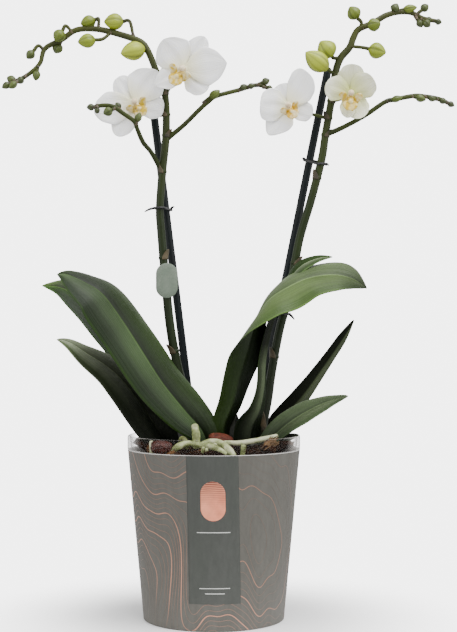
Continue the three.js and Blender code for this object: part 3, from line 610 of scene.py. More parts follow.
big_chips = {
    "bark_chip_left": ((-38, -40, 131), (16, 11, 9), (0.3, 0.1, 0.2), 0.7, wet_bark),
    "bark_chip_middle": ((5, -26, 135.3), (19, 12, 9.5), (0.2, 0.18, 0.1), 0.8, red_bark),
    "bark_chip_right": ((39, -41, 129.8), (12.5, 9.5, 6.5), (-0.2, 0.3, 0.5), 0.75, bark),
}
for name, (place, size, lean, box, finish) in big_chips.items():
    chip = chip_shapes([place], [size], [lean], 3, 22, 36, 0.05, box)
    plant_piece(name + "_rough", with_tint(chip, 0.6), finish, [name])


# Aerial roots. Fleshy silvery-green roots with a velvety skin and greener tips, which arch out of
# the bark, over each other and back in.
dome_height = 0.7


def smooth_rows(rows, share):
    """Rows read at shares of the way along them: in each span a cubic that leaves and reaches a row
    with half the step between that row's two neighbours."""
    rows = np.asarray(rows, float)
    padded = np.vstack([2 * rows[0] - rows[1], rows, 2 * rows[-1] - rows[-2]])
    at = np.clip(share, 0, 1) * (len(rows) - 1)
    span = np.minimum(at.astype(int), len(rows) - 2)
    s = (at - span)[:, None]
    before, start, end, after = (padded[span + step] for step in range(4))
    leave, arrive = (end - before) / 2, (after - start) / 2
    bend = s**2 * (3 * (end - start) - 2 * leave - arrive)
    return start + s * leave + bend + s**3 * (2 * (start - end) + leave + arrive)


def spokes(along, guide, sides):
    """Directions square to each direction along, at even turns from the one nearest to the guide:
    the cosine of the turn times that one and the sine times its cross product with along."""
    guide = np.array(guide)
    first = unit(guide - along * (along @ guide)[..., None])[..., None, :]
    turn = even_turns(sides)[:, None]
    return first * np.cos(turn) + np.cross(along[..., None, :], first) * np.sin(turn)


def tube_shape(rows, sides, rings, knobs=0.0, seed=1, shade=0.5):
    """A round tube along rows of x, y, z and radius, with a dome at each end. A ring's points are
    its radius times its spokes, and knobs is the share by which a slow seeded ripple swells it.
    The tint is the share along the tube, the shade and the cosine of the turn."""
    share = np.linspace(0, 1, rings)
    values = smooth_rows(rows, share)
    place, radius = values[:, :3], values[:, 3]
    along = unit(np.gradient(place, axis=0))
    random = np.random.default_rng(seed)
    for waves in (2, 5):
        radius = radius * (1 + knobs / 2 * np.sin(waves * 2 * np.pi * share + random.uniform(0, 6.3)))
    dome = np.radians((85, 65, 45, 25))
    reach = dome_height * np.sin(dome)[:, None]
    place = np.vstack([place[0] - along[0] * radius[0] * reach, place,
                       place[-1] + along[-1] * radius[-1] * reach[::-1]])
    radius = np.concatenate([radius[0] * np.cos(dome), radius, radius[-1] * np.cos(dome[::-1])])
    along = np.pad(along, ((len(dome), len(dome)), (0, 0)), mode="edge")
    points = place[:, None] + spokes(along, (0.31, -0.95, 0.05), sides) * radius[:, None, None]
    step = np.linspace(0, 1, len(place))[:, None]
    return ringed(points, grid(step, shade, np.cos(even_turns(sides)) / 2 + 0.5))


def root_finish():
    """Silvery skin over green, from greener to paler with each root's shade, and greener in patches."""
    finish = Finish("root_skin", Roughness=0.55)
    patches = finish.math("MULTIPLY_ADD", finish.noise(190, 4), 2.2, -1.1)
    paint = finish.ramp(finish.math("ADD", finish.tint()[1], patches), (
        (0, tone(62, 60, 30)), (0.3, tone(96, 104, 54)), (0.6, tone(134, 142, 92)),
        (1, tone(172, 174, 140))))
    return finish.feed(finish.noise(900, 3), 0.0002, Base_Color=paint)


root_skin = root_finish()
# Each root has a shade, and rows of x, y, z and radius.
roots = {
    "aerial_roots_front": (
        (0.45, ((-32, -41, 126, 2.4), (-26, -41, 131.5, 2.6), (-19, -38, 133.5, 2.4),
         (-9, -40, 132.5, 2.6), (0, -45, 131.5, 2.5), (8, -51, 127, 2.4))),
        (0.7, ((-12, -38, 131, 2.2), (-4, -37, 134.5, 2.4), (4, -41, 134.5, 2.4), (10, -48, 131, 2.5),
         (14, -52, 126, 2.4))),
        (0.95, ((1, -41, 132.5, 2), (9, -37, 134, 1.9), (18, -38, 134, 1.9), (27, -35, 134.9, 2),
         (36, -32, 136.3, 2.1), (46, -29, 138.2, 1.8))),
        (0.5, ((-13, -38, 131, 2.6), (-13, -35, 139, 3), (-14, -33, 146, 2.6))),
        (0.4, ((-20, -37, 131, 2.4), (-22, -32, 136, 2.3), (-24, -24, 135, 2.2), (-24, -14, 128, 2.2))),
        (1.0, ((-45, -35, 124, 1.9), (-45.6, -36, 134.5, 1.8))),
        (0.5, ((20.5, -49, 125, 1.8), (21.3, -50, 132.6, 1.9))),
        (0.7, ((-9, -49, 125, 1.2), (-7.5, -51, 131.5, 1.3))),
        (0.9, ((-4, -50, 125, 1.2), (-5.5, -51, 130.6, 1.2))),
    ),
    "aerial_roots_back": (
        (0.5, ((-34, 24, 126, 2.3), (-24, 32, 132.5, 2.5), (-8, 36, 133.5, 2.4), (8, 34, 132.5, 2.3),
         (20, 40, 127, 2.2))),
        (0.6, ((-8, 36, 132, 2.2), (4, 44, 131.5, 2.3), (12, 52, 126, 2.2))),
    ),
}
for name, shaded_rows in roots.items():
    shapes = [tube_shape(rows, 20, 20 * len(rows), 0.05, number, shade)
              for number, (shade, rows) in enumerate(shaded_rows)]
    plant_piece(name.replace("aerial_roots", "roots"), join_shapes(shapes), root_skin, [name])


# Husk. A tuft of coarse brown and straw-coloured fibres, torn from the husk in the medium. It lies
# loose on the bark at the right.
husk_skin = mottled_finish("husk_skin", (18, 9, 5), (98, 75, 50), 160, 0.0002, Roughness=0.8,
                           Specular_IOR_Level=0.1)
fibre_count = 46
fibre_foot = np.array((33, -45, 128))
fibre_tip = np.array((45, -37, 137))
random = np.random.default_rng(9)
fibres = []
for number in range(fibre_count):
    start = fibre_foot + random.uniform((-2, -3, 0), (4, 3, 2))
    stop = fibre_tip + random.uniform((-3, -4, -5), (3, 4, 2))
    middle = (start + stop) / 2 + random.uniform((-2, -2, -1), (2, 1, 3.5))
    fibres.append(tube_shape([[*start, 0.3], [*middle, 0.5], [*stop, 0.25]], 8, 14, 0.1, number))
plant_piece("bark_chip_right_fibres", join_shapes(fibres), husk_skin, ["bark_chip_right"])


# Crowns. The short stem of each plant, wrapped in the folded bases of its leaves and a few papery
# remains of older ones.
crown_foot = 112.5
crown_height = 29
crown_fold = 0.05
sheath_step = 0.03


def crown_shape(x, y, wide, deep, sides=48, rings=24):
    """A stump turned about the upright axis and flattened front to back. Its radius swells in two
    opposite folds and in low steps where one sheath ends over the next."""
    share = np.linspace(0, 1, rings)
    outline = smooth_rows([[0.8], [0.97], [0.98], [0.9], [0.62], [0.05]], share)
    share, angle = share[:, None], even_turns(sides)
    steps = (share * 5 + angle / np.pi) % 1
    radius = outline * (1 + crown_fold * np.cos(2 * angle) - sheath_step * steps)
    return ringed(grid(x + wide * radius * np.sin(angle), y - deep * radius * np.cos(angle),
                       crown_foot + crown_height * share))


crown_skin = mottled_finish("crown_skin", (12, 14, 6), (28, 32, 14), 90, 0.0003, (1, 1, 0.3),
                            Roughness=0.5)
for name, *measures in (("crown_left", -18, 2, 11, 9), ("crown_right", 25, 2, 12, 9)):
    plant_piece(name + "_sheath", crown_shape(*measures), crown_skin, [name])


# Leaves. Thick waxy blades, each folded along its midrib, with fine parallel veins, a keel below
# the midrib and a thin margin, painted pale as light shows through it. The upper ones on the right
# catch more light, which is painted into them as paler tones.
half_thickness = 0.95
thinnest_half = 0.3
midrib_width = 1.1
channel_depth = 0.45
keel_depth = 0.5
half_arch = 0.1
margin_wave = 0.012


def leaf_shape(rows, hand, seed, rings=96, columns=33):
    """A blade along its midrib. Rows are x, y, z, half width, roll and fold. The roll turns the
    blade about the midrib, the fold lifts both halves from it, a sine arches each half, and a slow
    seeded wave lifts the margins with the square of the way out. It thins to its margins and tip,
    and a bell curve across it sinks the channel and raises the keel. The hand, 1 or -1, says which
    way it leans."""
    share = np.linspace(0, 1, rings)
    values = smooth_rows(rows, share)
    share = share[:, None]
    place = values[:, :3]
    half = np.maximum(values[:, 3:4], 0.35) * np.sqrt(np.clip((1.004 - share) / 0.02, 0.02, 1))
    roll, fold = np.radians(values[:, 4:5]), np.radians(values[:, 5:])
    along = unit(np.gradient(place, axis=0))
    front = unit(along * along[:, 1:2] - (0, 1, 0))
    side = np.cos(roll) * front + np.sin(roll) * np.cross(along, front) * hand
    face = (np.cross(side, along) * hand)[:, None]
    side = side[:, None]
    v = np.linspace(-1, 1, columns)
    bend = np.sqrt(v**2 + 0.0016) - 0.04
    random = np.random.default_rng(seed)
    wave = sum(np.sin(waves * np.pi * share + random.uniform(0, 6.3)) for waves in (3, 5, 9))
    lift = np.sin(fold) * bend + half_arch * np.sin(np.pi * np.abs(v))
    lift = lift + wave * margin_wave * np.sign(v) * v**2
    reach = (np.cos(fold) * v)[..., None] * side + lift[..., None] * face
    middle = place[:, None] + half[..., None] * reach
    turn = (fold * np.tanh(2.4 * v))[..., None]
    skin = np.cos(turn) * face - np.sin(turn) * side
    rib = np.exp(-(v * half / midrib_width)**2)
    depth = np.maximum(thinnest_half, half_thickness * (1 - 0.62 * v**2))
    depth = depth * np.clip((1.02 - share) / 0.08, 0.3, 1) * np.where(np.abs(v) > 0.99, 0.45, 1)
    return two_faced(middle + (depth - channel_depth * rib)[..., None] * skin,
                     middle - (depth + keel_depth * rib)[..., None] * skin, hand < 0)


def shade_ramp(finish, value, stops, brightest=3):
    """A painted light and shade factor from pairs of a value and the factor there, which may be
    brighter than full.
    """
    greys = [(place, (*[shade / brightest] * 3, 1)) for place, shade in stops]
    return finish.times(finish.ramp(value, greys), brightest)


def leaf_finish(name, upper, lower, below, margin, sideways, gloss, lengthwise):
    """Waxy leaf skin: a tone for each half, which differ as a lit half and a half in painted shade, one
    for the underside where it differs, darkened as painted shade, and one for the lower margin's strip,
    a deeper green painted for light through the thin edge, with fine veins along the blade, and painted
    light and shade across it, which draw the midrib's pale line as a painted highlight and its dark
    side as painted shade, and along it."""
    finish = Finish(name, Roughness=0.42, Specular_IOR_Level=gloss)
    across, along, faces_up = finish.tint()
    # The halves' tones are painted light where they differ: one half lit, the other in painted shade. The
    # lower margin's strip is a deeper green painted for light through the thin edge.
    halves = finish.mix(finish.spread(across, 0.49, 0.51), tone(*upper), tone(*lower))
    green = finish.mix(finish.spread(across, 0.78, 0.9, 0, 0.9), halves, tone(*margin))
    # The broad cloud varies the tone at random, with soft patches of painted sheen.
    cloud = finish.spread(finish.noise(28, 3), 0.3, 0.7, 0.78, 1.22)
    strips = finish.add("CombineXYZ", {0: finish.times(across, 64), 1: finish.times(along, 2)})
    veins = finish.noise(1, 2, strips)
    vein_shade = finish.spread(veins, 0.3, 0.7, 0.8, 1.2)
    # Painted light and shade across the blade: the midrib's pale line is a painted highlight, its dark side
    # painted shade, and the margins carry painted highlights.
    paint = finish.shaded(green, finish.times(cloud, vein_shade, shade_ramp(finish, across, sideways)))
    # The underside's tone is its green darkened as painted shade, and it is shaded further across it as
    # painted shade.
    if below:
        underside_painted_shade = shade_ramp(finish, across, ((0, 0.25), (0.42, 0.4), (0.52, 0.95), (0.96, 1.3), (1, 1.8)))
        under = finish.shaded(tone(*below)[:3], finish.times(vein_shade, underside_painted_shade))
        paint = finish.mix(faces_up, under, paint)
    # Painted light and shade along the blade, dark near the crown on every leaf.
    paint = finish.shaded(paint, shade_ramp(finish, along, lengthwise))
    return finish.feed(veins, 0.0004, Base_Color=paint)


# Painted light and shade across a leaf, as pairs of the share across and a factor: a painted highlight on
# the midrib, painted shade beside it and painted highlights at the margins. The lit strip is a painted
# highlight, and the black side a half in deep painted shade.
deep_fold_painted_light = ((0, 2.0), (0.05, 1.6), (0.15, 1.15), (0.3, 0.9), (0.42, 0.55), (0.482, 0.4), (0.49, 2.5),
             (0.508, 2.5), (0.52, 1.5), (0.68, 1.3), (0.83, 0.62), (0.96, 0.7), (0.98, 1.6), (1, 1.6))
soft_fold_painted_light = ((0, 1.6), (0.05, 1.3), (0.2, 1.1), (0.4, 0.85), (0.482, 0.6), (0.49, 2.0), (0.508, 2.0),
             (0.52, 1.2), (0.7, 1.1), (0.9, 0.9), (0.97, 0.9), (0.98, 1.5), (1, 1.5))
lit_strip = ((0, 1), (0.49, 1), (0.5, 1.6), (0.51, 1), (0.62, 1), (0.74, 0.45), (0.97, 0.4), (1, 1.2))
painted_shade_side = ((0, 1.3), (0.04, 1), (0.54, 1), (0.6, 0.12), (0.97, 0.08), (1, 0.5))
# Each leaf has its rows, its tones, its painted light and shade across and its gloss in the order
# its finish takes them, and its painted light and shade lengthwise. The tones carry painted light
# and shade too.
leaves = {
    "leaf_left_front": (
        ((-5, -4, 128, 9, 55, 30), (-9.5, -7, 141, 13.5, 58, 20), (-22.2, -13, 156, 18.8, 54, 5),
         (-39, -22, 177.5, 22.5, 48, -5), (-56.2, -30, 204.8, 25.2, 43, -8),
         (-68.3, -34, 223.8, 25.1, 41, -10), (-81.8, -36, 242, 24, 38, -12),
         (-94.3, -36, 250.5, 18.6, 35, -12), (-106.5, -35, 256.3, 10.6, 33, -9),
         (-115, -33.5, 257.8, 1, 32, 0)),
        (32, 46, 18), (45, 59, 34), (34, 48, 20), (24, 42, 8), deep_fold_painted_light, 0.2,
        ((0, 0.5), (0.2, 0.92), (0.4, 1.0), (0.74, 0.74), (0.86, 0.95), (0.93, 1.6), (1, 1.9))),
    "leaf_left_back": (
        ((-16, 10, 127, 8, 40, 30), (-24, 14, 142, 12, 40, 15), (-42, 20, 166, 18, 35, 5),
         (-63, 26, 192, 21, 32, 0), (-81, 29, 215, 21, 33, 0), (-98, 31, 234, 18.5, 35, 2),
         (-116, 31, 248, 13, 38, 6), (-134, 30, 252, 1, 35, 5)),
        (44, 58, 26), (24, 42, 7), (30, 44, 16), (26, 46, 8), deep_fold_painted_light, 0.2,
        ((0, 0.3), (0.34, 0.9), (0.8, 0.9), (0.9, 1.3), (0.96, 3.1), (1, 4))),
    "leaf_left_low": (
        ((-32.3, -1, 126, 11.5, 60, 35), (-41.6, -3, 140, 18.4, 60, 20), (-53.5, -6, 158, 19.7, 51, 4),
         (-68.3, -9, 177.3, 17.8, 43, -5), (-80, -10, 188.5, 15.8, 40, -6), (-96, -10, 198.8, 12.1, 36, -6),
         (-108, -9, 206.5, 7, 30, -4), (-118, -8, 210, 1, 30, 0)),
        (96, 104, 82), (104, 112, 90), (28, 38, 18), (56, 68, 40), soft_fold_painted_light, 0.1,
        ((0, 0.04), (0.3, 0.12), (0.45, 0.3), (0.6, 0.45), (0.74, 1.2), (0.85, 2.2), (1, 1.8))),
    "leaf_right_front": (
        ((10, -4, 126, 8, -75, 40), (6.5, -6, 142, 8.5, -70, 30), (14, -10, 163, 10.8, -60, 15),
         (18.3, -14, 182, 13.5, -53, 0), (23.4, -19, 200, 16.9, -44, -6), (28.9, -23, 219, 19.4, -16, -15),
         (39.6, -27, 237, 21, 18, -19), (53.8, -27, 247, 21.5, 34, -18), (70.8, -25, 254.6, 20.8, 36, -9),
         (89.3, -23, 257, 19.2, 37, -2), (102.5, -22, 254.3, 13.4, 40, 5), (114, -21, 248, 1, 40, 0)),
        (76, 92, 56), (68, 85, 44), (32, 48, 14), (60, 80, 36), soft_fold_painted_light, 0.2,
        ((0, 0.35), (0.1, 1.0), (0.32, 0.7), (0.4, 0.45), (0.5, 1.1), (0.66, 1.03), (0.8, 0.92),
         (0.9, 0.5), (1, 0.25))),
    "leaf_right_upright": (
        ((26, -7, 126, 10.5, -60, 30), (27.5, -8, 142, 12, -60, 25), (33.6, -10, 157, 8.2, -48, 20),
         (36.6, -11, 173, 6.2, -38, 15), (37.8, -11, 193, 7, -28, 15), (41, -11, 212, 7.5, -22, 10),
         (47, -11, 233, 8.5, -10, 5), (56, -11, 252, 9, 15, 0), (65, -11, 264, 8, 30, 0),
         (77, -11, 270, 5, 35, 0), (89, -11, 272, 1, 35, 0)),
        (22, 34, 12), (76, 86, 64), None, (50, 68, 34), lit_strip, 0.08,
        ((0, 0.12), (0.12, 0.3), (0.22, 0.95), (0.38, 1.0), (0.47, 0.15), (0.66, 0.15), (0.74, 2.2),
         (1, 3.3))),
    "leaf_right_back": (
        ((38, 11, 126, 7, -40, 35), (50, 14, 146, 9, -45, 25), (68, 20, 164, 10.8, -45, 15),
         (84.8, 27, 186.8, 8.6, -40, 10), (99.8, 33, 208.3, 6.6, -40, 8), (110, 38, 225, 1, -40, 0)),
        (58, 66, 46), (58, 66, 46), None, (58, 66, 46), painted_shade_side, 0.03,
        ((0, 0.2), (0.3, 0.7), (0.5, 1.0), (1, 1.0))),
    "leaf_right_low": (
        ((37, -5, 127, 7, 45, 35), (50, -9, 141.3, 10.2, 45, 20), (66, -15, 153.4, 10.8, 42, 8),
         (83, -21, 162.4, 7.2, 40, 0), (99, -26, 168, 1, 40, 0)),
        (59, 71, 47), (58, 68, 46), (28, 38, 18), (46, 60, 34), soft_fold_painted_light, 0.2,
        ((0, 0.3), (0.2, 0.7), (0.4, 1.25), (0.6, 1.35), (1, 1.3))),
    "leaf_right_small": (
        ((40, -8, 126, 4, 30, 20), (51, -12, 134, 5.6, 40, 10), (63.3, -14, 138.6, 0.8, 40, 0)),
        (20, 28, 12), (24, 34, 14), (16, 24, 10), (40, 56, 24), soft_fold_painted_light, 0.2,
        ((0, 0.3), (1, 1.0))),
}
for number, (name, (rows, *skin)) in enumerate(leaves.items()):
    blade = leaf_shape(rows, -1 if "left" in name else 1, number)
    finish = leaf_finish(name + "_skin", *skin)
    plant_piece(name.replace("leaf_", "blade_"), blade, finish, [name])
old_sheaths = {
    "crown_right": [(18, 2, 122, 8, -70, 20), (16, 2, 134, 8, -70, 15), (15.5, 3, 145, 6, -70, 10),
                    (17, 4, 153, 0.8, -70, 5)],
    "crown_left": [(-26, 0, 122, 8, 70, 20), (-28, 0, 132, 8, 70, 15), (-30, 0, 141, 6, 70, 10),
                   (-33, 0, 149, 0.8, 70, 5)],
}
for name, rows in old_sheaths.items():
    plant_piece(name + "_old_leaf", leaf_shape(rows, 1, 4, 30, 17), crown_skin, [name])


# Flower spikes. A green main stem with nodes and small papery bracts, thin side stems, ribbed
# pedicels and plump buds that are larger and paler the nearer they are to opening.
groove_width = 0.22
groove_depth = 0.1


def bud_shape(centre, axis, long, wide, seed, rings=22, sides=48):
    """A closed bud turned about its axis: its radius is a power of a sine along its length, which
    is fullest a little below the middle, with three soft grooves where the sepals meet. The tint
    is the share along it, its paleness, which grows with its size, and the closeness to a groove."""
    share = np.linspace(0.004, 0.996, rings)[:, None]
    outline = np.sin(np.pi * share**0.86)**0.72
    angle = even_turns(sides)
    groove = np.exp(-(np.cos(1.5 * (angle + seed)) / groove_width)**2)
    ribs = groove + 0.5 * np.exp(-(np.cos(4.5 * (angle + seed)) / 0.3)**2) * (groove < 0.5)
    radius = wide / 2 * outline * (1 - groove_depth * groove + 0.02 * np.cos(6 * angle))
    points = centre + axis * ((share - 0.5) * long)[..., None]
    points = points + spokes(axis, (0.2, -1, 0.1), sides) * radius[..., None]
    return ringed(points, grid(share, np.clip((long - 6) / 11, 0, 1), ribs))


def bract_shape(place, along, out, long, wide, rings=8, sides=12):
    """A small scale that clasps the stem at a node and stands off at its tip: an arc of a cone,
    narrowing to a point, with an outer and an inner wall."""
    share = np.linspace(0, 1, rings)[:, None]
    around = np.linspace(-1, 1, sides) * 1.25 * (1 - 0.9 * share**1.5)
    arc = np.cos(around)[..., None] * out + np.sin(around)[..., None] * np.cross(along, out)
    spine = place + along * (long * share)[..., None]
    radius = (wide / 2 * (1 + 0.55 * share**2))[..., None]
    return two_faced(spine + (radius + 0.35) * arc, spine + radius * arc)


def stem_finish():
    """Satin green stem skin with fine ribs along it: nearly black at the crown, greener higher up
    and brownish at the ends."""
    finish = Finish("stem_skin", Roughness=0.45, Specular_IOR_Level=0.2)
    climb = finish.spread(finish.add("SeparateXYZ", {0: finish.place()}, 2), 0.13, 0.45)
    green = finish.ramp(climb, ((0, tone(18, 24, 9)), (0.3, tone(23, 34, 10)), (0.55, tone(27, 38, 9)),
                                (0.8, tone(48, 56, 19)), (1, tone(58, 62, 25))))
    shade, grain = finish.mottle((0.72, 0.72, 0.72, 1), (1.25, 1.22, 1.15, 1), 70, (1, 1, 0.2))
    return finish.feed(grain, 0.00025, Base_Color=finish.shaded(green, shade))


def bud_finish():
    """Bud skin: green on the small ones and pale yellow-green on the large, darker towards the base,
    and darker along the grooves and fine ribs as painted shade."""
    finish = Finish("bud_skin", Roughness=0.5)
    along, pale, groove = finish.tint()
    body = finish.ramp(pale, ((0, tone(46, 54, 16)), (0.3, tone(70, 84, 14)), (0.5, tone(92, 106, 8)),
                              (0.68, tone(113, 128, 10)), (1, tone(148, 159, 36))))
    # The grooves and fine ribs are darkened as painted shade.
    shade = finish.times(finish.spread(along, 0, 0.3, 0.75, 1), finish.spread(groove, 0, 1, 1.08, 0.5),
                         finish.spread(finish.noise(160, 3), 0, 1, 0.8, 1.2))
    return finish.feed(Base_Color=finish.shaded(body, shade))


stem_skin = stem_finish()
bud_skin = bud_finish()
bract_skin = mottled_finish("bract_skin", (38, 34, 18), (80, 68, 44), 150, 0.0002, Roughness=0.6)
node_half = 1.4
node_swell = 0.45
stalk_radii = (1.25, 1.5)
# A bright ground eats thin edges, so stems and buds are made fuller than their rows: a stem in its
# radius, and a bud in its length and its width.
stem_growth = (1, 1, 1, 1.21)
bud_growth = (1.06, 1.1)
crown_bract_size = (16, 6.6)
crown_bract = (np.array((37.2, 4, 139)), np.array((0.15, 0, 1)), np.array((-0.5, -0.86, 0.1)))
# Each spike has the heights of its main stem's nodes, the lift of its arch, its stems and its buds.
# A stem is rows of x, y, z and radius, the main one first. A bud is its length and width, then where
# its stalk leaves the stem, a bend in the stalk if there is one, and the bud's middle.
spikes = {
    "spike_left": ((201, 271, 337, 364, 380, 396), (0.8, 400, 436), [
        ((-14, 4, 118, 2.8), (-16, 4, 142, 2.9), (-21, 2, 167, 2.9), (-27, 0, 187, 2.9),
         (-33, -3, 219, 2.8), (-37, -4, 258, 2.7), (-40, -4, 292, 2.6), (-41, -4, 309, 2.5),
         (-39, -4, 337, 2.5), (-36.2, -5, 366, 2.4), (-37.2, -7, 396, 2.2), (-44, -8, 413, 2.1),
         (-50, -8, 427, 2.1), (-56, -7, 434, 2.1), (-71, -4, 440, 2), (-89, 0, 445, 1.9),
         (-105, 3, 445, 1.8), (-116, 4, 438, 1.7), (-129, 4, 431, 1.6), (-133, 2, 419, 1.4),
         (-144, 0, 409, 1.4), (-157, -3, 403, 1.3)),
        ((-40, -4, 338, 1.6), (-47, -12, 350, 1.5), (-53, -18, 357, 1.5), (-57, -24, 366, 1.4),
         (-59, -27, 371, 1.4), (-68, -31, 377, 1.4), (-74, -32, 381, 1.4), (-81, -32, 382, 1.3),
         (-90, -30, 381, 1.2)),
        ((-35, -4, 362, 1.7), (-23, -9, 371, 1.5), (-11, -14, 382, 1.5), (-4, -16, 388, 1.5),
         (2, -16, 392, 1.4), (19, -14, 397, 1.4), (32, -12, 401, 1.3), (42, -10, 399, 1.2)),
        ((-36, -6, 380, 1.2), (-44, -7, 379, 1.1), (-52, -8.5, 383, 1), (-59, -10.3, 387.3, 1.1)),
        ((-36, -7, 396, 1.2), (-31, -14, 402, 1.1), (-22.6, -23.3, 409.3, 1.1)),
    ], [
        (19, 13, (-51, -8, 429), (-61, -12, 426)),
        (14.5, 11.5, (-61, -6, 438), (-64, -4, 450), (-76, -3, 450)),
        (11.5, 9.3, (-88, 0, 445), (-88, 1, 453), (-96, 2, 451)),
        (13, 10, (-78, -3, 442), (-84, -7, 436), (-96, -9, 434)),
        (10, 9, (-108, 3, 443), (-113, 2, 448), (-118, 1, 440)),
        (8.3, 7.6, (-116, 4, 438), (-120, 8, 432)),
        (7.6, 6.6, (-130, 4, 430), (-134, 3, 433), (-140, 2, 426)),
        (8, 5.6, (-134, 2, 418), (-135, 0, 410)), (6.2, 5.3, (-143, 0, 410), (-147, -2, 406)),
        (8, 5.6, (-150, -3, 405), (-154, -1, 407)), (8, 5, (-149, -3, 405), (-152, -5, 402)),
        (7, 5, (-154, -3, 404), (-157.5, -3, 402)), (7.6, 5, (-58, -26, 369), (-56, -27, 374)),
        (5.7, 4.8, (-69, -31, 378), (-71, -30, 382)), (7.2, 6.2, (-73, -32, 380), (-78, -34, 377)),
        (4.5, 3.8, (-86, -31, 382), (-86, -32, 378)), (6, 4.8, (-87, -31, 381), (-91, -30, 381)),
        (9.5, 5.8, (-8, -16, 387), (0.5, -18, 393)), (6, 4.4, (18, -14, 396.5), (22, -15, 399)),
        (6.2, 4.2, (25, -13, 399), (28, -14, 400)), (6.2, 5.2, (32, -12, 401), (39, -11, 404)),
        (5, 4.4, (37, -11, 400), (42, -10, 399)),
    ]),
    "spike_right": ((197, 268, 333, 365, 378, 391), (1.4, 425, 442), [
        ((35, 4, 116, 2.8), (37, 4, 142, 2.9), (41, 4, 164, 2.9), (44, 4, 185, 2.8), (50, 4, 217, 2.7),
         (58, 3, 247, 2.7), (65, 2, 285, 2.6), (74, 1, 316, 2.6), (82, 0, 347, 2.5), (85, -1, 367, 2.4),
         (89, -2, 390, 2.4), (92, -3, 411, 2.3), (96, -3, 423, 2.3), (103, -3, 431, 2.2),
         (106, -3, 438, 2.1), (110, -3, 444, 2), (121, -3, 449, 1.9), (131, -2, 455, 1.8),
         (141, 0, 458, 1.7), (151, 2, 458, 1.6), (160, 3, 454, 1.5), (171, 4, 452, 1.3)),
        ((84, -1, 365, 1.7), (97, -5, 370, 1.6), (114, -7, 379, 1.5), (129, -8, 389, 1.5),
         (136, -8, 391, 1.5), (151, -7, 394, 1.5), (159, -6, 394, 1.4), (171, -5, 392, 1.4),
         (180, -4, 388, 1.3)),
        ((86, -1, 378, 1.2), (75, -3, 380.5, 1), (65, -7, 383, 1), (57, -11.2, 385.3, 1.1)),
        ((89, -2, 391, 1.2), (95, -9, 391, 1.1), (101.5, -15.3, 393.4, 1.1)),
    ], [
        (10.5, 9.8, (107, -3, 439), (112, -4, 448), (106, -6, 456)),
        (10.5, 9.2, (113, -3, 445), (121, -11, 445.8)), (6.8, 6.5, (135, -1, 456), (138, -2, 461)),
        (10.8, 5.8, (140, 0, 459), (149.5, 0, 460.8)), (6.8, 6, (154, 2, 456), (161.4, 3, 462.3)),
        (13.5, 11, (104, -3, 432), (113, -8, 430), (123, -12, 427)),
        (14.5, 13.7, (97, -3, 424), (91, -5, 423), (85, -8, 429)),
        (21, 13.8, (92, -3, 411), (87, -8, 413), (77.5, -11.5, 419.5)),
        (6.4, 5.1, (154, 2, 455), (157.5, 2, 449.7)), (6.8, 5.6, (158, 3, 454), (162.6, 1, 449.4)),
        (6.2, 4.5, (160, 3, 454), (164.8, 4, 453)), (5.1, 4.4, (166, 4, 453), (172, 4, 451.6)),
        (8.9, 4.7, (130, -8, 389.4), (138, -9.5, 391.4)), (7.9, 5.1, (149, -7, 394), (156.3, -8, 391.9)),
        (6.4, 4.4, (159, -6, 394), (165.4, -6, 392.2)), (6.2, 4.4, (168, -5, 392.3), (173.8, -5, 390.6)),
        (5.7, 4.2, (176, -4.5, 390), (180, -4, 388.2)),
    ]),
}


def lifted(rows, lift, low, high):
    """Rows raised by a share of the lift: none below the low height, all above the high one, and
    evenly more between them."""
    rows = np.array(rows, float)
    rows[:, 2] += lift * np.clip((rows[:, 2] - low) / (high - low), 0, 1)
    return rows


for name, (heights, arch_lift, stem_rows, bud_rows) in spikes.items():
    stem_rows = [lifted(rows, *arch_lift) * stem_growth for rows in stem_rows]
    stems = [tube_shape(rows, 14 if number else 20, 14 * len(rows), 0.02, number)
             for number, rows in enumerate(stem_rows)]
    buds, bracts = [], []
    main = smooth_rows(stem_rows[0], np.linspace(0, 1, 800))
    flow = unit(np.gradient(main[:, :3], axis=0))
    for number, height in enumerate(heights):
        at = int(np.argmin(np.abs(main[:, 2] - height)))
        place, along, radius = main[at, :3], flow[at], main[at, 3]
        knot = [[*(place + along * step), radius + swell]
                for step, swell in ((-node_half, 0.05), (0, node_swell), (node_half, 0.05))]
        stems.append(tube_shape(knot, 20, 12))
        out = spokes(along, (0.8 if number % 2 else -0.8, -0.6, 0), 1)[0]
        bracts.append(bract_shape(place - along * 1.5, along, out, 8 - number * 0.6, 2 * radius + 0.3))
    if name == "spike_right":
        place, along, out = crown_bract
        bracts.append(bract_shape(place, unit(along), unit(out), *crown_bract_size))
    for number, (long, wide, *path) in enumerate(bud_rows):
        long, wide = np.array((long, wide)) * bud_growth
        path = lifted(path, *arch_lift)
        axis = unit(path[-1] - path[-2])
        buds.append(bud_shape(path[-1], axis, long, wide, number))
        path[-1] -= axis * long * 0.42
        stalk = np.column_stack([path, np.linspace(*stalk_radii, len(path))])
        stems.append(tube_shape(stalk, 12, 12 * len(path), 0.03, number))
        along = unit(path[1] - path[0])
        out = spokes(along, (0.2, -0.9, -0.4), 1)[0]
        bracts.append(bract_shape(path[0] - along * 0.8, along, out, 3.4, 2.6))
    for part, shapes, finish in (("_stems", stems, stem_skin), ("_buds", buds, bud_skin),
                                 ("_bracts", bracts, bract_skin)):
        plant_piece(name + part, join_shapes(shapes), finish, [name])


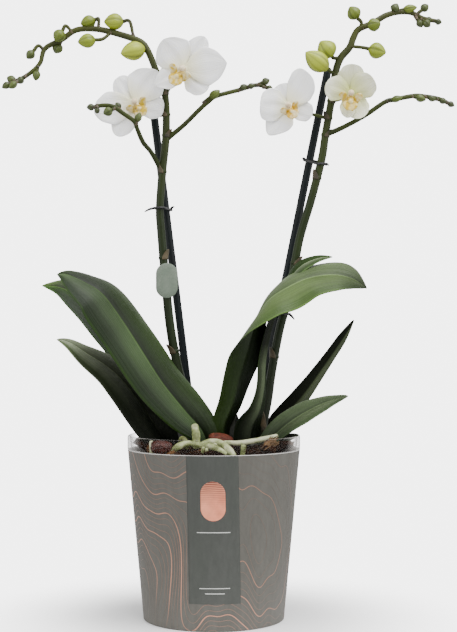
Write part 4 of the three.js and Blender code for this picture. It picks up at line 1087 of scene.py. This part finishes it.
# Supports. Two thin dark dyed sticks pushed in to the bark, and black wire ties that loop round a
# stem and its stick, with their ends twisted off.
stake_skin = mottled_finish("stake_skin", (4, 9, 10), (8, 17, 19), 120, 0.0002, (1, 1, 0.05),
                            Roughness=0.5, Specular_IOR_Level=0.2)
stakes = {
    "stake_left": [(-6, 17, 60, 3), (-46, 8, 382, 3)],
    "stake_right": [(15.5, 14, 60, 3), (88, 14, 418, 3)],
}
for name, rows in stakes.items():
    plant_piece(name.replace("stake", "stick"), tube_shape(rows, 20, 60), stake_skin, [name])
wire_radius = 0.9
held_radius = 3.3
ties = {
    "tie_left": [(-41, -4, 309), (-37, 10, 309), ((-44.6, -4.5, 309), (-52, -8, 306)),
                 ((-33.5, 9.5, 309), (-30.5, 5, 311))],
    "tie_right_high": [(81.2, 0, 343), (73.8, 14, 348), ((84.8, -0.5, 343), (87, -3, 341.8)),
                       ((70.5, 13.5, 348), (68, 11, 349))],
    "tie_right_low": [(53.4, 3.6, 229), (49.7, 14, 229), ((57, 3, 229), (61, 1, 225))],
}


def tie_shape(stem, stake, *ends):
    """A closed loop of wire round a stem and a stake: at each turn it takes the farther of the
    two circles, and its loose ends are short tubes."""
    angle = even_turns(16)
    outward = grid(np.cos(angle), np.sin(angle))
    circles = np.array([stem, stake], float)
    held = circles[np.argmax(outward @ circles[:, :2].T, axis=1)]
    loop = np.column_stack([held[:, :2] + outward * (held_radius + wire_radius), held[:, 2],
                            np.full(len(angle), wire_radius)])
    loop = smooth_rows(np.vstack([loop, loop[:2]]), np.linspace(0, 1, 90))
    shapes = [tube_shape(loop, 10, 90)]
    for start, stop in ends:
        middle = (np.array(start) + np.array(stop)) / 2 + (0, -0.6, 0.5)
        shapes.append(tube_shape([[*start, wire_radius], [*middle, wire_radius], [*stop, 0.5]], 10, 16))
    return join_shapes(shapes)


wire_skin = mottled_finish("wire_skin", (8, 8, 9), (18, 18, 19), 300, 0.0001, Roughness=0.5)
for name, tie in ties.items():
    plant_piece(name + "_wire", tie_shape(*tie), wire_skin, [name])


# Name tag. A thin capsule of sage-green plastic with rounded edges, moulded in one piece and left
# bare. It lies against the left stem.
tag_radius = 8.25
tag_height = 26.4
tag_place = (-35.5, -7.45, 254)
tag_edge = ((3, 0.4), (0.25, 0.4), (0, 0.2), (0, -0.2), (0.25, -0.4), (3, -0.4))


def tag_shape(sides=72):
    """A plate whose outline is two half circles joined by straight sides. Rings step out from the
    back face round the edge to the front face, each a little smaller at the faces."""
    angle = even_turns(sides)
    x, z = tag_radius * np.cos(angle), tag_radius * np.sin(angle)
    z += np.where(np.sin(angle) >= 0, 1, -1) * (tag_height / 2 - tag_radius)
    insets, depths = np.array(tag_edge).T[..., None]
    shrink = 1 - insets / tag_radius
    return ringed(grid(x * shrink, depths, z * shrink) + tag_place)


tag_skin = mottled_finish("tag_skin", (92, 104, 90), (100, 110, 97), 200, 0.00005, Roughness=0.55)
plant_piece("tag_plate", tag_shape(), tag_skin, ["name_tag"])


# Blooms. Three sepals behind two broad petals of soft greyish white, all waxy with fine veins, on a
# small heart. In front stand a short hooded column and a three-lobed lip with a yellow throat.
def sheet_shape(middle, half_depth):
    """A thin closed sheet on a grid of middle points: its skin is the cross product of the grid's
    two slopes."""
    skin = unit(np.cross(np.gradient(middle, axis=1), np.gradient(middle, axis=0))) * half_depth
    return two_faced(middle + skin, middle - skin)


def tepal_shape(angle, length, half, lift, blunt, lean, broadest, seat, seed, rows=44, columns=33):
    """A petal or sepal seen from the front. Its half width grows from the claw by a sine to its
    broadest place and closes by a curve whose power sets how blunt the end is. Its middle leans to
    one side and its tip comes forward with the square of the way out, its edges fall back with the
    square of the way across, and seeded waves fold it gently and ruffle the margin."""
    share = 0.998 * np.sin(np.pi / 2 * np.linspace(0, 1, rows))[:, None]
    v = np.linspace(-1, 1, columns)
    random = np.random.default_rng(seed)

    def ripple(*waves):
        return sum(np.sin(count * share + random.uniform(0, 6.3)) for count in waves)

    claw = 2.2
    swell = claw + (half - claw) * np.sin(np.pi / 2 * np.minimum(1, share / broadest))
    past = np.clip((share - broadest) / (1 - broadest), 0, 1)
    width = swell * (1 - past**blunt)**(1 / blunt) * (1 + 0.018 * ripple(11, 19))
    left, right = ripple(4, 8, 13) / 3, ripple(4, 8, 13) / 3
    edge = v**2 * np.where(v < 0, left, right) * np.minimum(share, 0.8)
    arch = np.sin(np.pi * share)
    fold = np.cos(2.4 * np.pi * v + random.uniform(0, 6.3)) * arch
    keel = np.exp(-(v / 0.16)**2) * arch
    height = seat + lift * share**2 - 0.06 * width * v**2 + 1.1 * edge + 0.22 * fold - 0.28 * keel
    height = height - 0.03 * half * arch * (1 - v**2)
    out, across = 1 + share * (length - 1), v * width + lean * share**2
    cos, sin = np.cos(np.radians(angle)), np.sin(np.radians(angle))
    middle = grid(sin * out + cos * across, cos * out - sin * across, height)[:, ::-1]
    depth = (0.42 - 0.24 * np.abs(v)**3) * (1 - 0.45 * share**3)
    return sheet_shape(middle, depth[..., None])


def blob_shape(centre, size, shade=(0.5, 0.5, 0.5)):
    """An egg-shaped lump: a ball scaled to a size, all in one tint."""
    points = sphere_points(1.45, 14, 20) * size + centre
    return ringed(points, np.broadcast_to(shade, points.shape))


def lip_shape():
    """The lip in yellow tones: two side lobes that curve up and out, a tongue with a blunt tip, the
    foot that joins them to the column, and a small callus between them. The tint's second value
    deepens the yellow."""
    sheet_half = 0.28
    share = np.linspace(0, 1, 18)[:, None]
    v = np.linspace(-1, 1, 15)
    width = 1.1 + 3 * np.sin(np.pi * np.minimum(0.95, share * 0.85 + 0.1))
    shapes = []
    for side in (-1, 1):
        lobe = grid(side * (1.5 + 4.2 * share + 0.9 * (1 - v**2) * share),
                    -3.6 + 2.2 * share**2 + 0.68 * v * width, 5.8 + 2.1 * share + 0.55 * v * width)
        points, faces, tint = sheet_shape(lobe[:, ::side], sheet_half)
        tint[:, 1] = 0.85 - 0.6 * tint[:, 1]
        shapes.append((points, faces, tint))
    tongue = grid(v * (1.2 + 2.9 * np.sin(np.pi * (0.12 + 0.84 * share))), -4.2 - 5.6 * share,
                  7.2 + 1.4 * share - 0.5 * v**2 + 0.5 * np.sin(np.pi * share) * np.abs(v))
    points, faces, tint = sheet_shape(tongue[:, ::-1], 0.3)
    tint[:, 1] = 1.0 - 0.5 * tint[:, 1]
    foot = tube_shape([[0, -1.2, 3.2, 1.5], [0, -3.6, 5, 1.5], [0, -5, 7.6, 1.7]], 14, 16)
    calli = [blob_shape((side * 0.8, -3.9, 8), (0.8, 1.1, 0.7), (0.5, 1.0, 1.0)) for side in (-1, 1)]
    return join_shapes([*shapes, (points, faces, tint), foot, *calli])


def column_shape():
    """The column: a short club bent a little forward, with a rounded cap at its end."""
    club = tube_shape([[0, 0, 1.8, 2.1], [0, 0.6, 4.6, 1.9], [0, 0.1, 7, 2.3], [0, -0.3, 8, 2.1]], 18, 22)
    return join_shapes([club, blob_shape((0, -0.2, 8.5), (1.7, 1.6, 1.3))])


def tepal_finish(name, pale, shaded, throat, reach):
    """Waxy petal skin, tinged at the throat, with veins that fan from the claw, where the pale tone
    blends with the shaded one, a painted shade, and a fine sparkle of cells."""
    finish = Finish(name, Roughness=0.55, Subsurface_Weight=0.12,
                    Subsurface_Radius=(0.002, 0.002, 0.0015), Subsurface_Scale=0.5)
    across, along, _ = finish.tint()
    fan = finish.add("CombineXYZ", {0: finish.times(across, 34), 1: finish.times(along, 2.2)})
    veins = finish.noise(1, 3, fan)
    # The vein fan blends the pale tone with the shaded one: faint veins, and painted shade of the crinkled
    # surface.
    skin = finish.mix(finish.spread(veins, 0.35, 0.62), tone(*shaded), tone(*pale))
    paint = finish.mix(finish.spread(along, 0.05, reach, 0.8, 0), skin, tone(*throat))
    grain = finish.math("MULTIPLY_ADD", veins, 3, finish.noise(1200, 2))
    return finish.feed(grain, 0.00012, Base_Color=paint)


def lip_finish(name, pale, deep):
    """Lip skin from a pale yellow edge to a deep throat, with fine reddish flecks in the throat."""
    finish = Finish(name, Roughness=0.5)
    depth = finish.tint()[1]
    blotches = finish.math("MULTIPLY_ADD", finish.noise(330, 1), 2.4, -1.1)
    share = finish.math("ADD", depth, blotches, use_clamp=True)
    fleck = finish.times(finish.spread(finish.noise(700, 2), 0.64, 0.72), depth)
    body = finish.mix(share, tone(*pale), tone(*deep))
    return finish.feed(Base_Color=finish.mix(fleck, body, tone(188, 118, 44)))


# Each bloom has its place, its turn to the side, its nod, the angle and size of its lip, the
# petals and sepals as rows for their shape, and the lip's pale and deep tones.
blooms = {
    "bloom_left_high": (
        (-22.2, -26, 409.9), -12, 4, 211, 1.4,
        ((83, 33, 14.5, 1.5, 1.35, 1), (-32, 26.5, 14.5, 3, 1.6, -1)),
        ((33.5, 28.3, 9.5, -1, 1.8, 0), (131, 23.5, 10.5, 0.5, 2, 1), (250, 24.5, 9, 1, 1.5, -2)),
        ((234, 226, 188), (202, 168, 10))),
    "bloom_left_low": (
        (-59.8, -13, 387.6), 4, 4, 147, 1.3,
        ((30, 29, 14.5, 2.5, 1.6, 2), (-105, 31, 12.5, 1, 1.7, 0)),
        ((-33, 22.5, 8.5, -1.5, 2.4, 0), (99, 22.5, 9.5, 0.5, 2.6, 1), (208, 28.5, 9, 1, 2, 0)),
        ((232, 224, 198), (190, 160, 16))),
    "bloom_right_low": (
        (56, -14, 385), -6, 3, 152, 1.15,
        ((40, 28, 11, 3, 2.8, -5), (-85, 21, 12.5, 4, 3, -1)),
        ((-20, 17.8, 8.5, -1, 2.4, 0), (110, 19, 7.8, 0, 2.4, 0), (206, 26, 10, 1.5, 1.5, 4)),
        ((236, 230, 194), (200, 158, 4))),
    "bloom_right_high": (
        (102, -18, 393.5), 0, 4, 185, 1.35,
        ((57, 19.2, 10, 8, 2.4, 1), (-70, 20, 9.5, 8, 2, -1)),
        ((4, 21.6, 10.2, 5, 2.3, 0), (150, 20, 8.8, 6, 2.2, 1), (189, 18.5, 6.2, 6, 2, 0)),
        ((230, 220, 170), (196, 162, 12))),
}
white_skin = tepal_finish("petal_skin", (252, 252, 251), (242, 242, 241), (230, 226, 180), 0.35)
young_skin = tepal_finish("young_petal_skin", (236, 236, 216), (220, 222, 190), (176, 184, 70), 0.6)
column_skin = mottled_finish("column_skin", (206, 184, 146), (224, 208, 178), 300, 0.00005,
                             Roughness=0.45)


def on_stalk(shape, place, yaw, nod, spin=0):
    """A bloom's part in its place: spun in the bloom's own plane, stood upright and nodded, and
    turned to the side."""
    points, faces, tint = shape
    for axis, angle in ((2, spin), (0, 90 + nod), (2, yaw)):
        points = turned(points, axis, np.radians(angle))
    return points + place, faces, tint


for number, (name, bloom) in enumerate(blooms.items()):
    *stalk, lip_angle, lip_size, petals, sepals, lip_tones = bloom
    tepals = [tepal_shape(*row, 0.5, -0.7, 10 * number + k) for k, row in enumerate(sepals)]
    tepals += [tepal_shape(*row, 0.55, 0.7, 10 * number + k + 5) for k, row in enumerate(petals)]
    tepals.append(blob_shape((0, 0, 0), (3.3, 3.3, 1.9), (0.5, 0.0, 0.5)))
    skin, slot = (young_skin, "young_tepal") if name == "bloom_right_high" else (white_skin, "tepal")
    plant_piece(name + "_petals", on_stalk(join_shapes(tepals), *stalk), skin, [name + "_tepals"])
    lip, column = lip_shape(), column_shape()
    lip[0][:, :2] *= lip_size
    plant_piece(name + "_tongue", on_stalk(lip, *stalk, 180 - lip_angle),
                lip_finish(name + "_lip_skin", *lip_tones), [name + "_lip"])
    plant_piece(name + "_column", on_stalk(column, *stalk, 180 - lip_angle), column_skin,
                [name + "_lip"])
